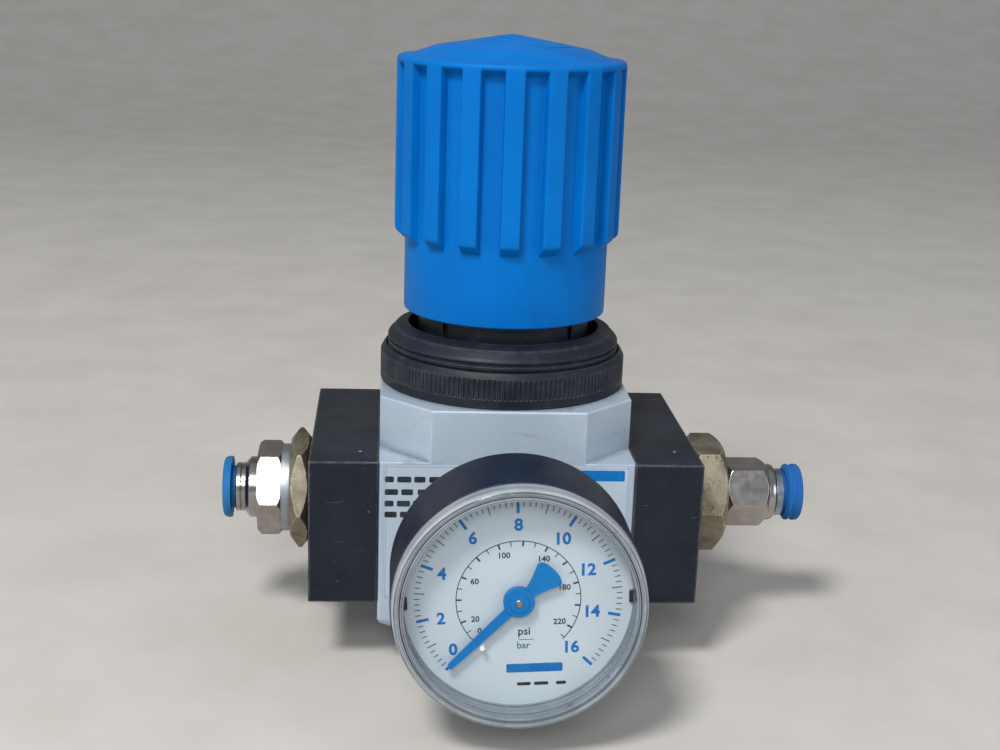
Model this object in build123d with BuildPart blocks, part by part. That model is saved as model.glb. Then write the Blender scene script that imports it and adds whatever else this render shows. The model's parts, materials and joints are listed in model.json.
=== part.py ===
from build123d import *
import os
from math import atan2, cos, degrees, radians, sin, sqrt

# Panel-mounted air pressure regulator with side port plates, push-in fittings and a front gauge.
# Millimetres, +Z up.  The origin is the centre of the flat underside of the bottom plug, on the
# regulator's vertical axis.  Air flows along +X, and the gauge looks along -Y.

# ---- driving dimensions ----
PORT_Z = 32.0           # height of the inlet, outlet and gauge axes
BODY_W = 55.0           # modular grid width of the housing
BODY_D = 57.0
PLATE_T = 15.0          # thickness of each port plate
PLATE_HALF_H = 15.8     # from the port axis up to the top of the plate
PLATE_BOTTOM_Z = 15.7
PLATE_SCREW_Y = 21.0
EDGE_R = 0.6            # rounding of the upright edges of the housing
CORNER_LEG = 11.0       # leg of the shoulder's corner chamfers
SHOULDER_Z = 59.3       # top of the housing
WAIST_Z = 11.6          # where the sides start to slope in
NECK_Z = 4.0            # underside of the housing

TUBE_R = 4.0            # 8 mm plastic tube
PANEL_R = 26.0          # M52 panel thread
THREAD_PITCH = 1.5
THREAD_DEPTH = 0.7
THREAD_TOP_Z = 69.3
RIM_Z = 72.2            # top of the bonnet's inner lip

KNOB_BOTTOM_Z = 75.7    # knob pulled up, free to turn
KNOB_R = 22.57
RIB_COUNT = 17
RIB_W = 4.1
RIB_BOTTOM_Z = 93.4
RIB_TOP_Z = 131.1
RIB_R = 24.95
RIB_PHASE = -92.4       # polar angle of the front rib
APEX_Z = 136.0

SEAT_Z = 92.0           # underside of the spring seat nut, fully backed off
VALVE_CONTACT_Z = 30.98  # where the stem stands in the poppet

GAUGE_R = 25.0
CASE_BACK = 48.0        # gauge depths are distances in front of the vertical axis
CASE_FRONT = 66.8
WINDOW_FRONT = 70.4
DIAL_FRONT = 64.0
DIAL_R = 22.8
GAUGE_ROLL = 2.4        # the gauge is screwed in a little past upright
POINTER_REST = 223.7    # polar angle of the pointer with no pressure, seen from the front
BLOCK_BACK = CASE_BACK + 1.6
PLATE_BACK = 57.0       # rear plate of the gauge movement
PLATE_FRONT = 61.9      # front plate of the gauge movement
SECTOR_BACK = 58.4
LINK_BACK = 59.5
TUBE_DEPTH = 53.2       # middle of the bourdon tube
BOURDON_R = 17.5
BOURDON_ARC = 285.0
TIP_ANGLE = -35.0
PINION_TEETH = 10
SECTOR_TEETH = 90       # teeth of the full circle that the sector is cut from
PINION_R = 1.1
TOOTH_RISE = 0.17
TOOTH_FALL = 0.26
SECTOR_SWING = 30.0     # turn of the sector over the full scale
TAIL_LENGTH = 4.6
MOVEMENT_SCREWS = ((-4.5, 3.6), (3.0, 3.6))

RUNNING_GAP = 0.06      # radial clearance of shafts in their bores
LOOSE_GAP = 0.3         # radial clearance between pieces that move past each other

# ---- values worked out from them ----
HALF_W = BODY_W / 2
HALF_D = BODY_D / 2
LEDGE_Z = PORT_Z + PLATE_HALF_H
# sloped underside of the housing: height, inset from the sides, corner rounding
UNDERSIDE = ((WAIST_Z, 0, EDGE_R), (WAIST_Z - 1.0, 0.4, 1.0), (WAIST_Z - 2.0, 1.4, 1.8),
             (NECK_Z, 9.0, 6.0))
PLATE_X = HALF_W + PLATE_T
PORT_AXIS = Axis((0, 0, PORT_Z), (1, 0, 0))
GAUGE_AXIS = Axis((0, 0, PORT_Z), (0, -1, 0))
FRONT_SECTION = Plane(origin=(0, 0, PORT_Z), x_dir=(0, -1, 0), z_dir=(-1, 0, 0))
REAR_SECTION = Plane(origin=(0, 0, PORT_Z), x_dir=(0, 1, 0), z_dir=(1, 0, 0))
UPRIGHT_SECTION = Plane(origin=(0, 0, 0), x_dir=(0, 0, 1), z_dir=(0, 1, 0))
INLET, OUTLET = -1, 1
SECTOR_R = PINION_R * SECTOR_TEETH / PINION_TEETH
SECTOR_TEETH_ANGLE = 360 / SECTOR_TEETH
SECTOR_PIVOT = (0.0, -PINION_R - SECTOR_R)
TAIL_ANGLE = 270 - SECTOR_SWING / 2
TAIL_X, TAIL_Y = (TAIL_LENGTH * cos(radians(TAIL_ANGLE)), TAIL_LENGTH * sin(radians(TAIL_ANGLE)))
LINK_PIN = (SECTOR_PIVOT[0] + TAIL_X, SECTOR_PIVOT[1] + TAIL_Y)
TAIL_MIDDLE = (SECTOR_PIVOT[0] + TAIL_X / 2, SECTOR_PIVOT[1] + TAIL_Y / 2)
LINK_TRAVEL = 2 * TAIL_LENGTH * sin(radians(SECTOR_SWING / 2))
TIP_PIN = (BOURDON_R * cos(radians(TIP_ANGLE)) + 1.3 * sin(radians(TIP_ANGLE)),
           BOURDON_R * sin(radians(TIP_ANGLE)) - 1.3 * cos(radians(TIP_ANGLE)))


# ---- helpers ----
def port_plane(side):
    """Half-section plane of a side port: x is the distance out of the port plate, y the radius."""
    return Plane(origin=(side * PLATE_X, 0, PORT_Z), x_dir=(side, 0, 0), z_dir=(0, -side, 0))


def port_face(side, out):
    """Plane square to a side port, facing outwards, with its x direction pointing up."""
    return Plane(origin=(side * (PLATE_X + out), 0, PORT_Z), x_dir=(0, 0, 1), z_dir=(side, 0, 0))


def gauge_plane(depth):
    """Plane of the gauge at a depth, seen from the front, turned with the dial."""
    roll = radians(GAUGE_ROLL)
    return Plane(origin=(0, -depth, PORT_Z), x_dir=(cos(roll), 0, sin(roll)), z_dir=(0, -1, 0))


def turn(outline, plane, axis, mode=Mode.ADD):
    """Revolve a closed outline about an axis into the piece being built."""
    with BuildSketch(plane) as profile:
        with BuildLine():
            Polyline(*outline, close=True)
        make_face()
    revolve(profile.sketch, axis=axis, mode=mode)


def block(low, high, mode=Mode.ADD):
    """Axis-aligned box between two corners."""
    with Locations(tuple((a + b) / 2 for a, b in zip(low, high))):
        Box(*(b - a for a, b in zip(low, high)), mode=mode)


def polar(radius, angle):
    """Point at a radius and an angle in degrees."""
    return radius * cos(radians(angle)), radius * sin(radians(angle))


def ring_part(inner, outer, low, high, plane, axis):
    """Plain turned ring."""
    with BuildPart() as ring:
        turn([(low, inner), (high, inner), (high, outer), (low, outer)], plane, axis)
    return ring


def o_ring_part(centre_r, section_r, along, plane, axis):
    """Ring of round section around an axis."""
    with BuildPart() as ring:
        with BuildSketch(plane) as profile:
            with Locations((along, centre_r)):
                Circle(section_r)
        revolve(profile.sketch, axis=axis)
    return ring


def coil_part(radius, wire_r, low, high, turns):
    """Round-wire compression spring on the vertical axis, between two heights."""
    height = high - low - 2 * wire_r - 0.04
    with BuildPart() as coil:
        with BuildLine():
            path = Helix(pitch=height / turns, height=height, radius=radius,
                         center=(0, 0, low + wire_r + 0.02))
        with BuildSketch(Plane(origin=path @ 0, z_dir=path % 0)):
            Circle(wire_r)
        sweep(is_frenet=True)
    return coil


def save(piece, name):
    """Label a finished piece and write it."""
    piece.part.label = name
    export_step(piece.part, f"parts/{name}.step")


# ---- housing and port plates ----
def housing():
    """Die-cast body: square block, octagonal shoulder, sloped underside, drilled air passages."""
    with BuildPart() as body:
        with BuildSketch(Plane.XY.offset(WAIST_Z)):
            RectangleRounded(BODY_W, BODY_D, EDGE_R)
        extrude(amount=LEDGE_Z - WAIST_Z)
        for (top_z, top_in, top_r), (low_z, low_in, low_r) in zip(UNDERSIDE, UNDERSIDE[1:]):
            with BuildSketch(Plane.XY.offset(top_z)):
                RectangleRounded(BODY_W - 2 * top_in, BODY_D - 2 * top_in, top_r)
            with BuildSketch(Plane.XY.offset(low_z)):
                RectangleRounded(BODY_W - 2 * low_in, BODY_D - 2 * low_in, low_r)
            loft(ruled=True)
        with BuildSketch(Plane.XY.offset(LEDGE_Z)) as octagon:
            Rectangle(BODY_W, BODY_D)
            chamfer(octagon.vertices(), CORNER_LEG)
        extrude(amount=SHOULDER_Z - LEDGE_Z)
        fillet(body.faces().sort_by(Axis.Z)[-1].edges(), 0.4)

        # stepped vertical bore, from the diaphragm seat down to the bottom thread
        turn([(0, 49), (21, 49), (21, 54), (24.6, 54), (24.6, SHOULDER_Z + 1), (0, SHOULDER_Z + 1)],
             Plane.XZ, Axis.Z, Mode.SUBTRACT)
        turn([(0, 35), (12, 35), (12, 46), (0, 46)], Plane.XZ, Axis.Z, Mode.SUBTRACT)
        turn([(0, 1), (15, 1), (15, 16.6), (12, 16.6), (12, 33), (0, 33)],
             Plane.XZ, Axis.Z, Mode.SUBTRACT)
        turn([(0, 32), (8, 32), (8, 36), (0, 36)], Plane.XZ, Axis.Z, Mode.SUBTRACT)
        turn([(0, 45), (1.5 + RUNNING_GAP, 45), (1.5 + RUNNING_GAP, 50), (0, 50)],
             Plane.XZ, Axis.Z, Mode.SUBTRACT)

        # side ports, and the passages that join them to the valve chambers
        for side, passage_z, passage_r in ((INLET, 27.0, 4.5), (OUTLET, 38.0, 3.0)):
            turn([(-PLATE_T - 13, 0), (1, 0), (1, 9), (-PLATE_T - 13, 9)],
                 port_plane(side), PORT_AXIS, Mode.SUBTRACT)
            with BuildSketch(Plane(origin=(side * 8, 0, passage_z), x_dir=(0, 1, 0),
                                   z_dir=(side, 0, 0))):
                Circle(passage_r)
            extrude(amount=8, mode=Mode.SUBTRACT)
            for y in (-PLATE_SCREW_Y, PLATE_SCREW_Y):
                with BuildSketch(Plane(origin=(side * (HALF_W + 1), y, PORT_Z), x_dir=(0, 1, 0),
                                       z_dir=(-side, 0, 0))):
                    Circle(2.5)
                extrude(amount=11.5, mode=Mode.SUBTRACT)

        # front and rear gauge ports, each with a small sensing passage
        for front in (-1, 1):
            with BuildSketch(Plane(origin=(0, front * (HALF_D + 1), PORT_Z), x_dir=(1, 0, 0),
                                   z_dir=(0, -front, 0))):
                Circle(6.6)
            extrude(amount=14, mode=Mode.SUBTRACT)
            with BuildSketch(Plane(origin=(0, front * 16, PORT_Z + 5), x_dir=(1, 0, 0),
                                   z_dir=(0, -front, 0))):
                Circle(1.4)
            extrude(amount=8, mode=Mode.SUBTRACT)
        # aspirator passage from the outlet chamber to the diaphragm chamber
        with BuildSketch(Plane.XY.offset(44)):
            with Locations((8, 0)):
                Circle(1.2)
        extrude(amount=6, mode=Mode.SUBTRACT)
    return body


def port_plate(side):
    """Rectangular port plate: threaded port, seal groove and two counterbored screw holes."""
    with BuildPart() as plate:
        inner, outer = sorted((side * HALF_W, side * PLATE_X))
        block((inner, -HALF_D, PLATE_BOTTOM_Z), (outer, HALF_D, LEDGE_Z))
        fillet(plate.edges(), 0.35)
        turn([(-11, 0), (1, 0), (1, 10.5), (-11, 10.5)], port_plane(side), PORT_AXIS, Mode.SUBTRACT)
        turn([(-16, 0), (-10, 0), (-10, 8), (-16, 8)], port_plane(side), PORT_AXIS, Mode.SUBTRACT)
        turn([(-16, 10), (-13.7, 10), (-13.7, 12.2), (-16, 12.2)],
             port_plane(side), PORT_AXIS, Mode.SUBTRACT)
        for y in (-PLATE_SCREW_Y, PLATE_SCREW_Y):
            with Locations(port_face(side, 0).shift_origin((side * PLATE_X, y, PORT_Z)).location):
                CounterBoreHole(2.75, 4.5, 5.2)
    return plate


def plate_screws(side):
    """Two socket-head screws that clamp a port plate to the housing."""
    with BuildPart() as screws:
        for y in (-PLATE_SCREW_Y, PLATE_SCREW_Y):
            seat = Plane(origin=(side * (PLATE_X - 5.2), y, PORT_Z), x_dir=(0, 1, 0),
                         z_dir=(side, 0, 0))
            with BuildSketch(seat):
                Circle(4.2)
            extrude(amount=5)
            with BuildSketch(seat):
                Circle(2.44)
            extrude(amount=-19.5)
            with BuildSketch(seat.offset(2.6)):
                RegularPolygon(2.0, 6, major_radius=False)
            extrude(amount=3, mode=Mode.SUBTRACT)
    return screws


# ---- port reducers and push-in fittings ----
def hexagon(side, across_flats, start, end, chamfers, rotation):
    """Hexagonal collar on a port axis; chamfers are (length, drop) at the inner and outer end."""
    corner_r = across_flats / sqrt(3)
    (in_length, in_drop), (out_length, out_drop) = chamfers
    with BuildSketch(port_face(side, start)) as outline:
        RegularPolygon(across_flats / 2, 6, major_radius=False, rotation=rotation)
    extrude(outline.sketch, amount=end - start)
    turn([(start, 0), (start, corner_r - in_drop), (start + in_length, corner_r),
          (end - out_length, corner_r), (end, corner_r - out_drop), (end, 0)],
         port_plane(side), PORT_AXIS, Mode.INTERSECT)


def reducer(side, start, end, rotation):
    """Brass thread reducer screwed into a port plate."""
    with BuildPart() as piece:
        hexagon(side, 24, start, end, ((1.9, 2.4), (1.9, 2.4)), rotation)
        turn([(-10, 0), (start, 0), (start, 10.3), (-9.2, 10.3), (-10, 9.5)],
             port_plane(side), PORT_AXIS)
        turn([(-11, 0), (end + 1, 0), (end + 1, 6.6), (-11, 6.6)],
             port_plane(side), PORT_AXIS, Mode.SUBTRACT)
    return piece


def tube_bore(side, mouth, stop, thread_end):
    """Stepped bore of a push-in fitting: release sleeve, grab ring, tube seal, stop, through way."""
    grab = mouth - 5.2
    turn([(stop, 0), (mouth + 1, 0), (mouth + 1, 4.95), (grab + 1.4, 4.95), (grab + 1.4, 5.1),
          (grab, 5.1), (grab, TUBE_R + 0.06), (stop + 2.7, TUBE_R + 0.06), (stop + 2.7, 5.4),
          (stop + 1.0, 5.4), (stop + 1.0, TUBE_R + 0.06), (stop, TUBE_R + 0.06)],
         port_plane(side), PORT_AXIS, Mode.SUBTRACT)
    turn([(thread_end - 1, 0), (stop + 0.5, 0), (stop + 0.5, 3.2), (thread_end - 1, 3.2)],
         port_plane(side), PORT_AXIS, Mode.SUBTRACT)


def inlet_fitting_body():
    """Short push-in fitting: threaded end, wide hexagon, stepped collar and grooved barrel."""
    with BuildPart() as body:
        hexagon(INLET, 19, 7.2, 12.6, ((0.7, 0.8), (0.8, 0.9)), 27)
        turn([(-4, 0), (7.2, 0), (7.2, 6.5), (-3.4, 6.5), (-4, 5.9)], port_plane(INLET), PORT_AXIS)
        turn([(12.6, 0), (12.6, 7.0), (14.5, 7.0), (15.4, 6.0), (15.4, 5.62), (16.3, 5.62),
              (16.3, 5.3), (16.6, 5.3), (16.6, 5.62), (17.5, 5.62), (17.7, 5.4), (17.7, 0)],
             port_plane(INLET), PORT_AXIS)
        tube_bore(INLET, 17.7, 5.0, -4)
    return body


def outlet_fitting_body():
    """Longer push-in fitting: threaded end, slim hexagon chamfered both ends, round rim."""
    with BuildPart() as body:
        hexagon(OUTLET, 14, 9.9, 20.7, ((2.0, 2.0), (1.6, 1.5)), -26)
        turn([(-1, 0), (9.9, 0), (9.9, 6.5), (-0.4, 6.5), (-1, 5.9)], port_plane(OUTLET), PORT_AXIS)
        turn([(20.6, 0), (20.6, 6.6), (21.5, 6.6), (22.1, 6.4), (22.5, 6.0), (22.7, 5.6), (22.7, 0)],
             port_plane(OUTLET), PORT_AXIS)
        tube_bore(OUTLET, 22.7, 10.0, -1)
    return body


def outlet_collar():
    """Zinc-plated collar pressed against the rim of the outlet fitting."""
    with BuildPart() as collar:
        turn([(22.7, 5.0), (24.2, 5.0), (24.2, 5.5), (22.7, 5.5)], port_plane(OUTLET), PORT_AXIS)
    return collar


def release_sleeve(side, mouth, flange_in):
    """Inner sleeve of a release ring, tapered where it opens the grab ring."""
    turn([(mouth - 3.3, TUBE_R + 0.2), (flange_in + 0.1, TUBE_R + 0.2),
          (flange_in + 0.1, 4.88), (mouth - 2.6, 4.88), (mouth - 3.3, 4.5)],
         port_plane(side), PORT_AXIS)


def inlet_release_ring():
    """Blue release ring of the inlet, a single flange."""
    with BuildPart() as ring:
        release_sleeve(INLET, 17.7, 18.7)
        turn([(18.7, TUBE_R + 0.2), (20.5, TUBE_R + 0.6), (20.5, 6.3), (20.2, 6.8), (19.4, 7.05),
              (18.7, 7.05)], port_plane(INLET), PORT_AXIS)
    return ring


def outlet_release_ring():
    """Blue release ring of the outlet, a thick flange with a shallow finger groove."""
    with BuildPart() as ring:
        release_sleeve(OUTLET, 22.7, 25.0)
        turn([(25.0, TUBE_R + 0.2), (28.6, TUBE_R + 0.6), (28.6, 6.25), (28.2, 6.6), (27.2, 6.65),
              (26.95, 6.35), (26.3, 6.3), (26.05, 6.6), (25.6, 6.6), (25.0, 5.7)],
             port_plane(OUTLET), PORT_AXIS)
    return ring


def grab_ring(side, mouth):
    """Spring-steel ring whose slit teeth hold the tube."""
    grab = mouth - 5.2
    with BuildPart() as ring:
        turn([(grab + 0.4, TUBE_R + 0.1), (grab + 0.6, TUBE_R + 0.1), (grab + 1.0, 4.6),
              (grab + 1.0, 5.06), (grab + 0.8, 5.06), (grab + 0.8, 4.66)],
             port_plane(side), PORT_AXIS)
        with BuildSketch(port_face(side, grab)) as slits:
            with PolarLocations(TUBE_R, 8):
                Rectangle(1.2, 0.4)
        extrude(slits.sketch, amount=1.4, mode=Mode.SUBTRACT)
    return ring


# ---- bonnet, panel nut and adjusting knob ----
def thread_outline(low, high):
    """Points of ring-shaped thread crests, from the low end up."""
    points = []
    crest = low
    while crest + THREAD_PITCH <= high:
        points += [(PANEL_R, crest), (PANEL_R, crest + 0.3),
                   (PANEL_R - THREAD_DEPTH, crest + 0.75), (PANEL_R, crest + 1.2)]
        crest += THREAD_PITCH
    return points


def bonnet():
    """Black upper housing: panel thread, recess for the knob, and the spring tube with its cap."""
    with BuildPart() as shell:
        turn([(20.5, 55.2), (24.5, 55.2), (24.5, SHOULDER_Z), (PANEL_R, SHOULDER_Z)]
             + thread_outline(SHOULDER_Z + 1.0, THREAD_TOP_Z + 0.1)
             + [(PANEL_R, THREAD_TOP_Z), (25.7, 69.8), (24.6, 70.9), (24.35, 71.0), (24.35, 71.3),
                (24.1, 71.5), (21.6, RIM_Z), (21.4, RIM_Z - 0.2), (21.4, 65.5), (19.2, 65.5),
                (19.2, 74.9), (18.4, 75.6), (18.4, 109.4), (17.8, 110), (5.1, 110), (5.1, 107.5),
                (15.8, 107.5), (15.8, 62), (20.5, 62)],
             Plane.XZ, Axis.Z)
        # keyways that keep the spring seat from turning
        for side in (-1, 1):
            block((min(side * 14, side * 16.8), -1.9, 61), (max(side * 14, side * 16.8), 1.9, 107.5),
                  Mode.SUBTRACT)
        # lock splines around the foot of the tube
        with BuildSketch(Plane.XY.offset(65.5)) as splines:
            with PolarLocations(19.2, 4, start_angle=45):
                Rectangle(2.2, 1.8)
        extrude(splines.sketch, amount=11, mode=Mode.SUBTRACT)
        # breather holes through the recess floor
        with BuildSketch(Plane.XY.offset(61)) as vents:
            with PolarLocations(20.3, 2, start_angle=90):
                Circle(0.8)
        extrude(vents.sketch, amount=6, mode=Mode.SUBTRACT)
    return shell


def panel_nut():
    """Knurled ring nut: plain foot, fine vertical knurl, bevelled top."""
    teeth = 156
    low, high = SHOULDER_Z + 0.02, SHOULDER_Z + 7.8
    root, tip = 27.2, 27.6
    outline = []
    for i in range(teeth):
        step = 360 / teeth
        outline += [polar(root, i * step), polar(tip, (i + 0.3) * step), polar(tip, (i + 0.7) * step)]
    with BuildPart() as nut:
        with BuildSketch(Plane.XY.offset(low + 2.1)):
            with BuildLine():
                Polyline(*outline, close=True)
            make_face()
        extrude(amount=4.3)
        turn([(0, low + 0.3), (27.2, low), (27.6, low + 0.3), (27.6, low + 2.1), (26.9, low + 2.1),
              (26.9, high - 1.3), (27.5, high - 1.3), (27.2, high - 0.7), (26.8, high), (0, high)],
             Plane.XZ, Axis.Z)
        with BuildSketch(Plane.XY.offset(low - 1)):
            Circle(PANEL_R + LOOSE_GAP)
        extrude(amount=10, mode=Mode.SUBTRACT)
    return nut


def knob():
    """Blue ribbed cap: plain sleeve, ribs, domed top of two cones, hex socket boss, lock keys."""
    cap_z = RIB_TOP_Z - 1.6
    with BuildPart() as cap:
        turn([(20.0, KNOB_BOTTOM_Z), (22.2, KNOB_BOTTOM_Z), (KNOB_R, KNOB_BOTTOM_Z + 0.4),
              (KNOB_R + 0.1, cap_z - 1.2), (RIB_R - 0.15, cap_z + 0.2), (RIB_R, cap_z + 0.8),
              (RIB_R - 0.15, cap_z + 1.2), (RIB_R - 0.45, RIB_TOP_Z), (22.0, RIB_TOP_Z + 0.3),
              (16.9, RIB_TOP_Z + 2.1), (1.5, APEX_Z - 0.1), (0, APEX_Z), (0, 129), (20.0, 129)],
             Plane.XZ, Axis.Z)
        with BuildSketch(Plane.XY.offset(RIB_BOTTOM_Z - 1.9)) as ribs:
            with PolarLocations(RIB_R - 2, RIB_COUNT, start_angle=RIB_PHASE):
                Rectangle(4.2, RIB_W)
        extrude(ribs.sketch, amount=cap_z + 2.6 - RIB_BOTTOM_Z)
        turn([(KNOB_R - 0.15, KNOB_BOTTOM_Z + 2), (30, KNOB_BOTTOM_Z + 2), (30, RIB_TOP_Z + 3),
              (RIB_R + 0.01, RIB_TOP_Z + 3), (RIB_R - 0.35, RIB_BOTTOM_Z + 0.2),
              (RIB_R - 0.5, RIB_BOTTOM_Z), (KNOB_R - 0.15, RIB_BOTTOM_Z - 1.9)],
             Plane.XZ, Axis.Z, Mode.SUBTRACT)
        turn([(20.0, KNOB_BOTTOM_Z), (22.2, KNOB_BOTTOM_Z), (KNOB_R, KNOB_BOTTOM_Z + 0.4),
              (KNOB_R + 0.1, cap_z - 1.2), (20.0, cap_z - 1.2)], Plane.XZ, Axis.Z)
        with BuildSketch(Plane.XY.offset(115.5)) as boss:
            Circle(8)
        extrude(boss.sketch, amount=14)
        with BuildSketch(Plane.XY.offset(115)) as socket:
            RegularPolygon(4.15, 6, major_radius=False)
        extrude(socket.sketch, amount=13.5, mode=Mode.SUBTRACT)
        turn([(0, 118.9), (6.3, 118.9), (6.3, 120.1), (0, 120.1)], Plane.XZ, Axis.Z, Mode.SUBTRACT)
        with BuildSketch(Plane.XY.offset(KNOB_BOTTOM_Z + 0.6)) as keys:
            with PolarLocations(19.7, 4, start_angle=45):
                Rectangle(1.5, 1.2)
        extrude(keys.sketch, amount=1.8)
    return cap


def knob_clip():
    """Split spring ring that gives the knob its two click positions."""
    with BuildPart() as clip:
        with BuildSketch(Plane.XY.offset(119.0)):
            Circle(6.25)
            Circle(4.9, mode=Mode.SUBTRACT)
            with Locations((5.6, 0)):
                Rectangle(3, 2.2, mode=Mode.SUBTRACT)
        extrude(amount=1.0)
    return clip


def spindle():
    """Adjusting screw: threaded shank, thrust collar, journal and hexagonal driving end."""
    with BuildPart() as screw:
        turn([(0, 73), (3.9, 73), (4.7, 73.8), (4.7, 103.4), (7.5, 103.4), (7.5, 106.4),
              (5.1 - RUNNING_GAP, 106.4), (5.1 - RUNNING_GAP, 110.2), (4.5, 110.2), (4.5, 111.2),
              (5.0, 111.2), (5.0, 111.5), (0, 111.5)], Plane.XZ, Axis.Z)
        with BuildSketch(Plane.XY.offset(111.5)):
            RegularPolygon(4.0, 6, major_radius=False)
        extrude(amount=12.5)
        chamfer(screw.faces().sort_by(Axis.Z)[-1].edges(), 0.5)
    return screw


def spindle_circlip():
    """Retaining ring above the tube's cap."""
    with BuildPart() as clip:
        with BuildSketch(Plane.XY.offset(110.22)):
            Circle(7.0)
            Circle(4.55, mode=Mode.SUBTRACT)
            with Locations((5.5, 0)):
                Rectangle(4, 3.0, mode=Mode.SUBTRACT)
        extrude(amount=0.9)
    return clip


def spring_seat():
    """Nut that the spindle drives up and down: flange, pilot, hub and two guide lugs."""
    with BuildPart() as seat:
        turn([(5.0, SEAT_Z - 4), (9.3, SEAT_Z - 4), (9.9, SEAT_Z - 3.2), (9.9, SEAT_Z),
              (15.4, SEAT_Z), (15.4, SEAT_Z + 3.5), (8.5, SEAT_Z + 3.5), (8.5, SEAT_Z + 8),
              (5.0, SEAT_Z + 8)], Plane.XZ, Axis.Z)
        block((-16.4, -1.5, SEAT_Z), (-14, 1.5, SEAT_Z + 3.5))
        block((14, -1.5, SEAT_Z), (16.4, 1.5, SEAT_Z + 3.5))
    return seat


# ---- diaphragm and valve ----
def spring_plate():
    """Lower spring plate on top of the diaphragm."""
    with BuildPart() as plate:
        turn([(4.05, 58.2), (14.6, 58.2), (15.2, 58.8), (15.2, 60.2), (9.6, 60.2), (9.6, 62.6),
              (8.2, 62.6), (8.2, 60.2), (4.05, 60.2)], Plane.XZ, Axis.Z)
    return plate


def diaphragm():
    """Rubber diaphragm: clamped rim, sloping convolution, flat centre with a hole."""
    with BuildPart() as sheet:
        turn([(4.0, 57.0), (14.8, 57.0), (16.0, 56.6), (18.6, 54.6), (20.2, 54.0), (24.4, 54.0),
              (24.4, 55.18), (20.4, 55.18), (19.2, 55.7), (16.6, 57.7), (15.0, 58.18), (4.0, 58.18)],
             Plane.XZ, Axis.Z)
    return sheet


def diaphragm_disc():
    """Lower support disc with the hollow spigot that carries the diaphragm and its nut."""
    with BuildPart() as disc:
        turn([(0.9, 55.8), (12.6, 55.8), (13.2, 56.4), (13.2, 57.0), (3.9, 57.0), (3.9, 63.4),
              (0.9, 63.4)], Plane.XZ, Axis.Z)
    return disc


def diaphragm_nut():
    """Hexagonal nut that clamps the diaphragm between its disc and the spring plate."""
    with BuildPart() as nut:
        with BuildSketch(Plane.XY.offset(60.2)):
            RegularPolygon(6.0, 6, major_radius=False)
            Circle(3.95, mode=Mode.SUBTRACT)
        extrude(amount=2.3)
    return nut


def valve_seat():
    """Brass seat ring with a narrow sealing lip."""
    with BuildPart() as seat:
        turn([(5.4, 32.2), (6.1, 32.2), (6.1, 33.0), (7.98, 33.0), (7.98, 35.0), (5.4, 35.0)],
             Plane.XZ, Axis.Z)
    return seat


def valve_stem():
    """Thin rod between the diaphragm's relief seat and the poppet."""
    with BuildPart() as stem:
        turn([(0, VALVE_CONTACT_Z + 0.02), (1.5, VALVE_CONTACT_Z + 0.02), (1.5, 55.1),
              (1.0, 55.78), (0, 55.78)], Plane.XZ, Axis.Z)
    return stem


def poppet():
    """Valve poppet: disc with a socket for the stem and a lower guide."""
    with BuildPart() as piece:
        turn([(0, 21.0), (2.5, 21.0), (3.0, 21.5), (3.0, 27.8), (7.4, 29.2), (7.4, 30.9),
              (1.52, 30.9), (1.52, VALVE_CONTACT_Z), (0, VALVE_CONTACT_Z)], Plane.XZ, Axis.Z)
    return piece


def poppet_seal():
    """Rubber face of the poppet."""
    return ring_part(1.54, 7.2, 30.9, 32.18, UPRIGHT_SECTION, Axis.Z)


def bottom_plug():
    """Screwed bottom closure with the poppet's guide bore and two holes for a pin spanner."""
    with BuildPart() as plug:
        turn([(0, 0), (16.9, 0), (17.5, 0.6), (17.5, 3.4), (16.9, 3.98), (14.9, 3.98), (14.9, 11.2),
              (13.4, 11.2), (13.4, 13.4), (14.9, 13.4), (14.9, 15.4), (14.3, 16), (5.4, 16),
              (5.4, 20), (0, 20)], Plane.XZ, Axis.Z)
        turn([(0, 8), (3.06, 8), (3.06, 16.4), (4.5, 16.4), (4.5, 18.0), (3.06, 18.0), (3.06, 21),
              (0, 21)], Plane.XZ, Axis.Z, Mode.SUBTRACT)
        with BuildSketch(Plane.XY) as spanner_holes:
            with Locations((-10, 0), (10, 0)):
                Circle(2.0)
        extrude(spanner_holes.sketch, amount=3.5, mode=Mode.SUBTRACT)
    return plug


# ---- rear port and label ----
def rear_plug():
    """Blanking plug in the unused rear gauge port, with a hexagon socket."""
    head = HALF_D + 4
    with BuildPart() as plug:
        turn([(HALF_D - 9, 0), (head, 0), (head, 7.8), (head - 0.4, 8.2), (HALF_D + 1.02, 8.2),
              (HALF_D + 1.02, 6.5), (HALF_D - 9, 6.5)], REAR_SECTION, GAUGE_AXIS)
        with BuildSketch(Plane(origin=(0, head, PORT_Z), x_dir=(0, 0, 1), z_dir=(0, -1, 0))):
            RegularPolygon(3.0, 6, major_radius=False)
        extrude(amount=5, mode=Mode.SUBTRACT)
    return plug


def front_label():
    """Thin label on the front face, with a hole for the gauge port."""
    with BuildPart() as label:
        with BuildSketch(Plane(origin=(0, -HALF_D, PORT_Z), x_dir=(1, 0, 0), z_dir=(0, -1, 0))):
            RectangleRounded(52.4, 30.6, 1.2)
            Circle(9.0, mode=Mode.SUBTRACT)
        extrude(amount=0.15)
    return label


# ---- gauge ----
def gauge_case():
    """Black cup of the gauge, with a ledge that carries the dial."""
    with BuildPart() as case:
        turn([(CASE_BACK, 6.1), (CASE_BACK, 23.9), (CASE_BACK + 0.35, 24.7),
              (CASE_BACK + 1.1, GAUGE_R), (CASE_FRONT, GAUGE_R), (CASE_FRONT, 23.4),
              (DIAL_FRONT - 0.62, 23.4), (DIAL_FRONT - 0.62, 22.0), (CASE_BACK + 1.6, 22.0),
              (CASE_BACK + 1.6, 6.1)], FRONT_SECTION, GAUGE_AXIS)
    return case


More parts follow.
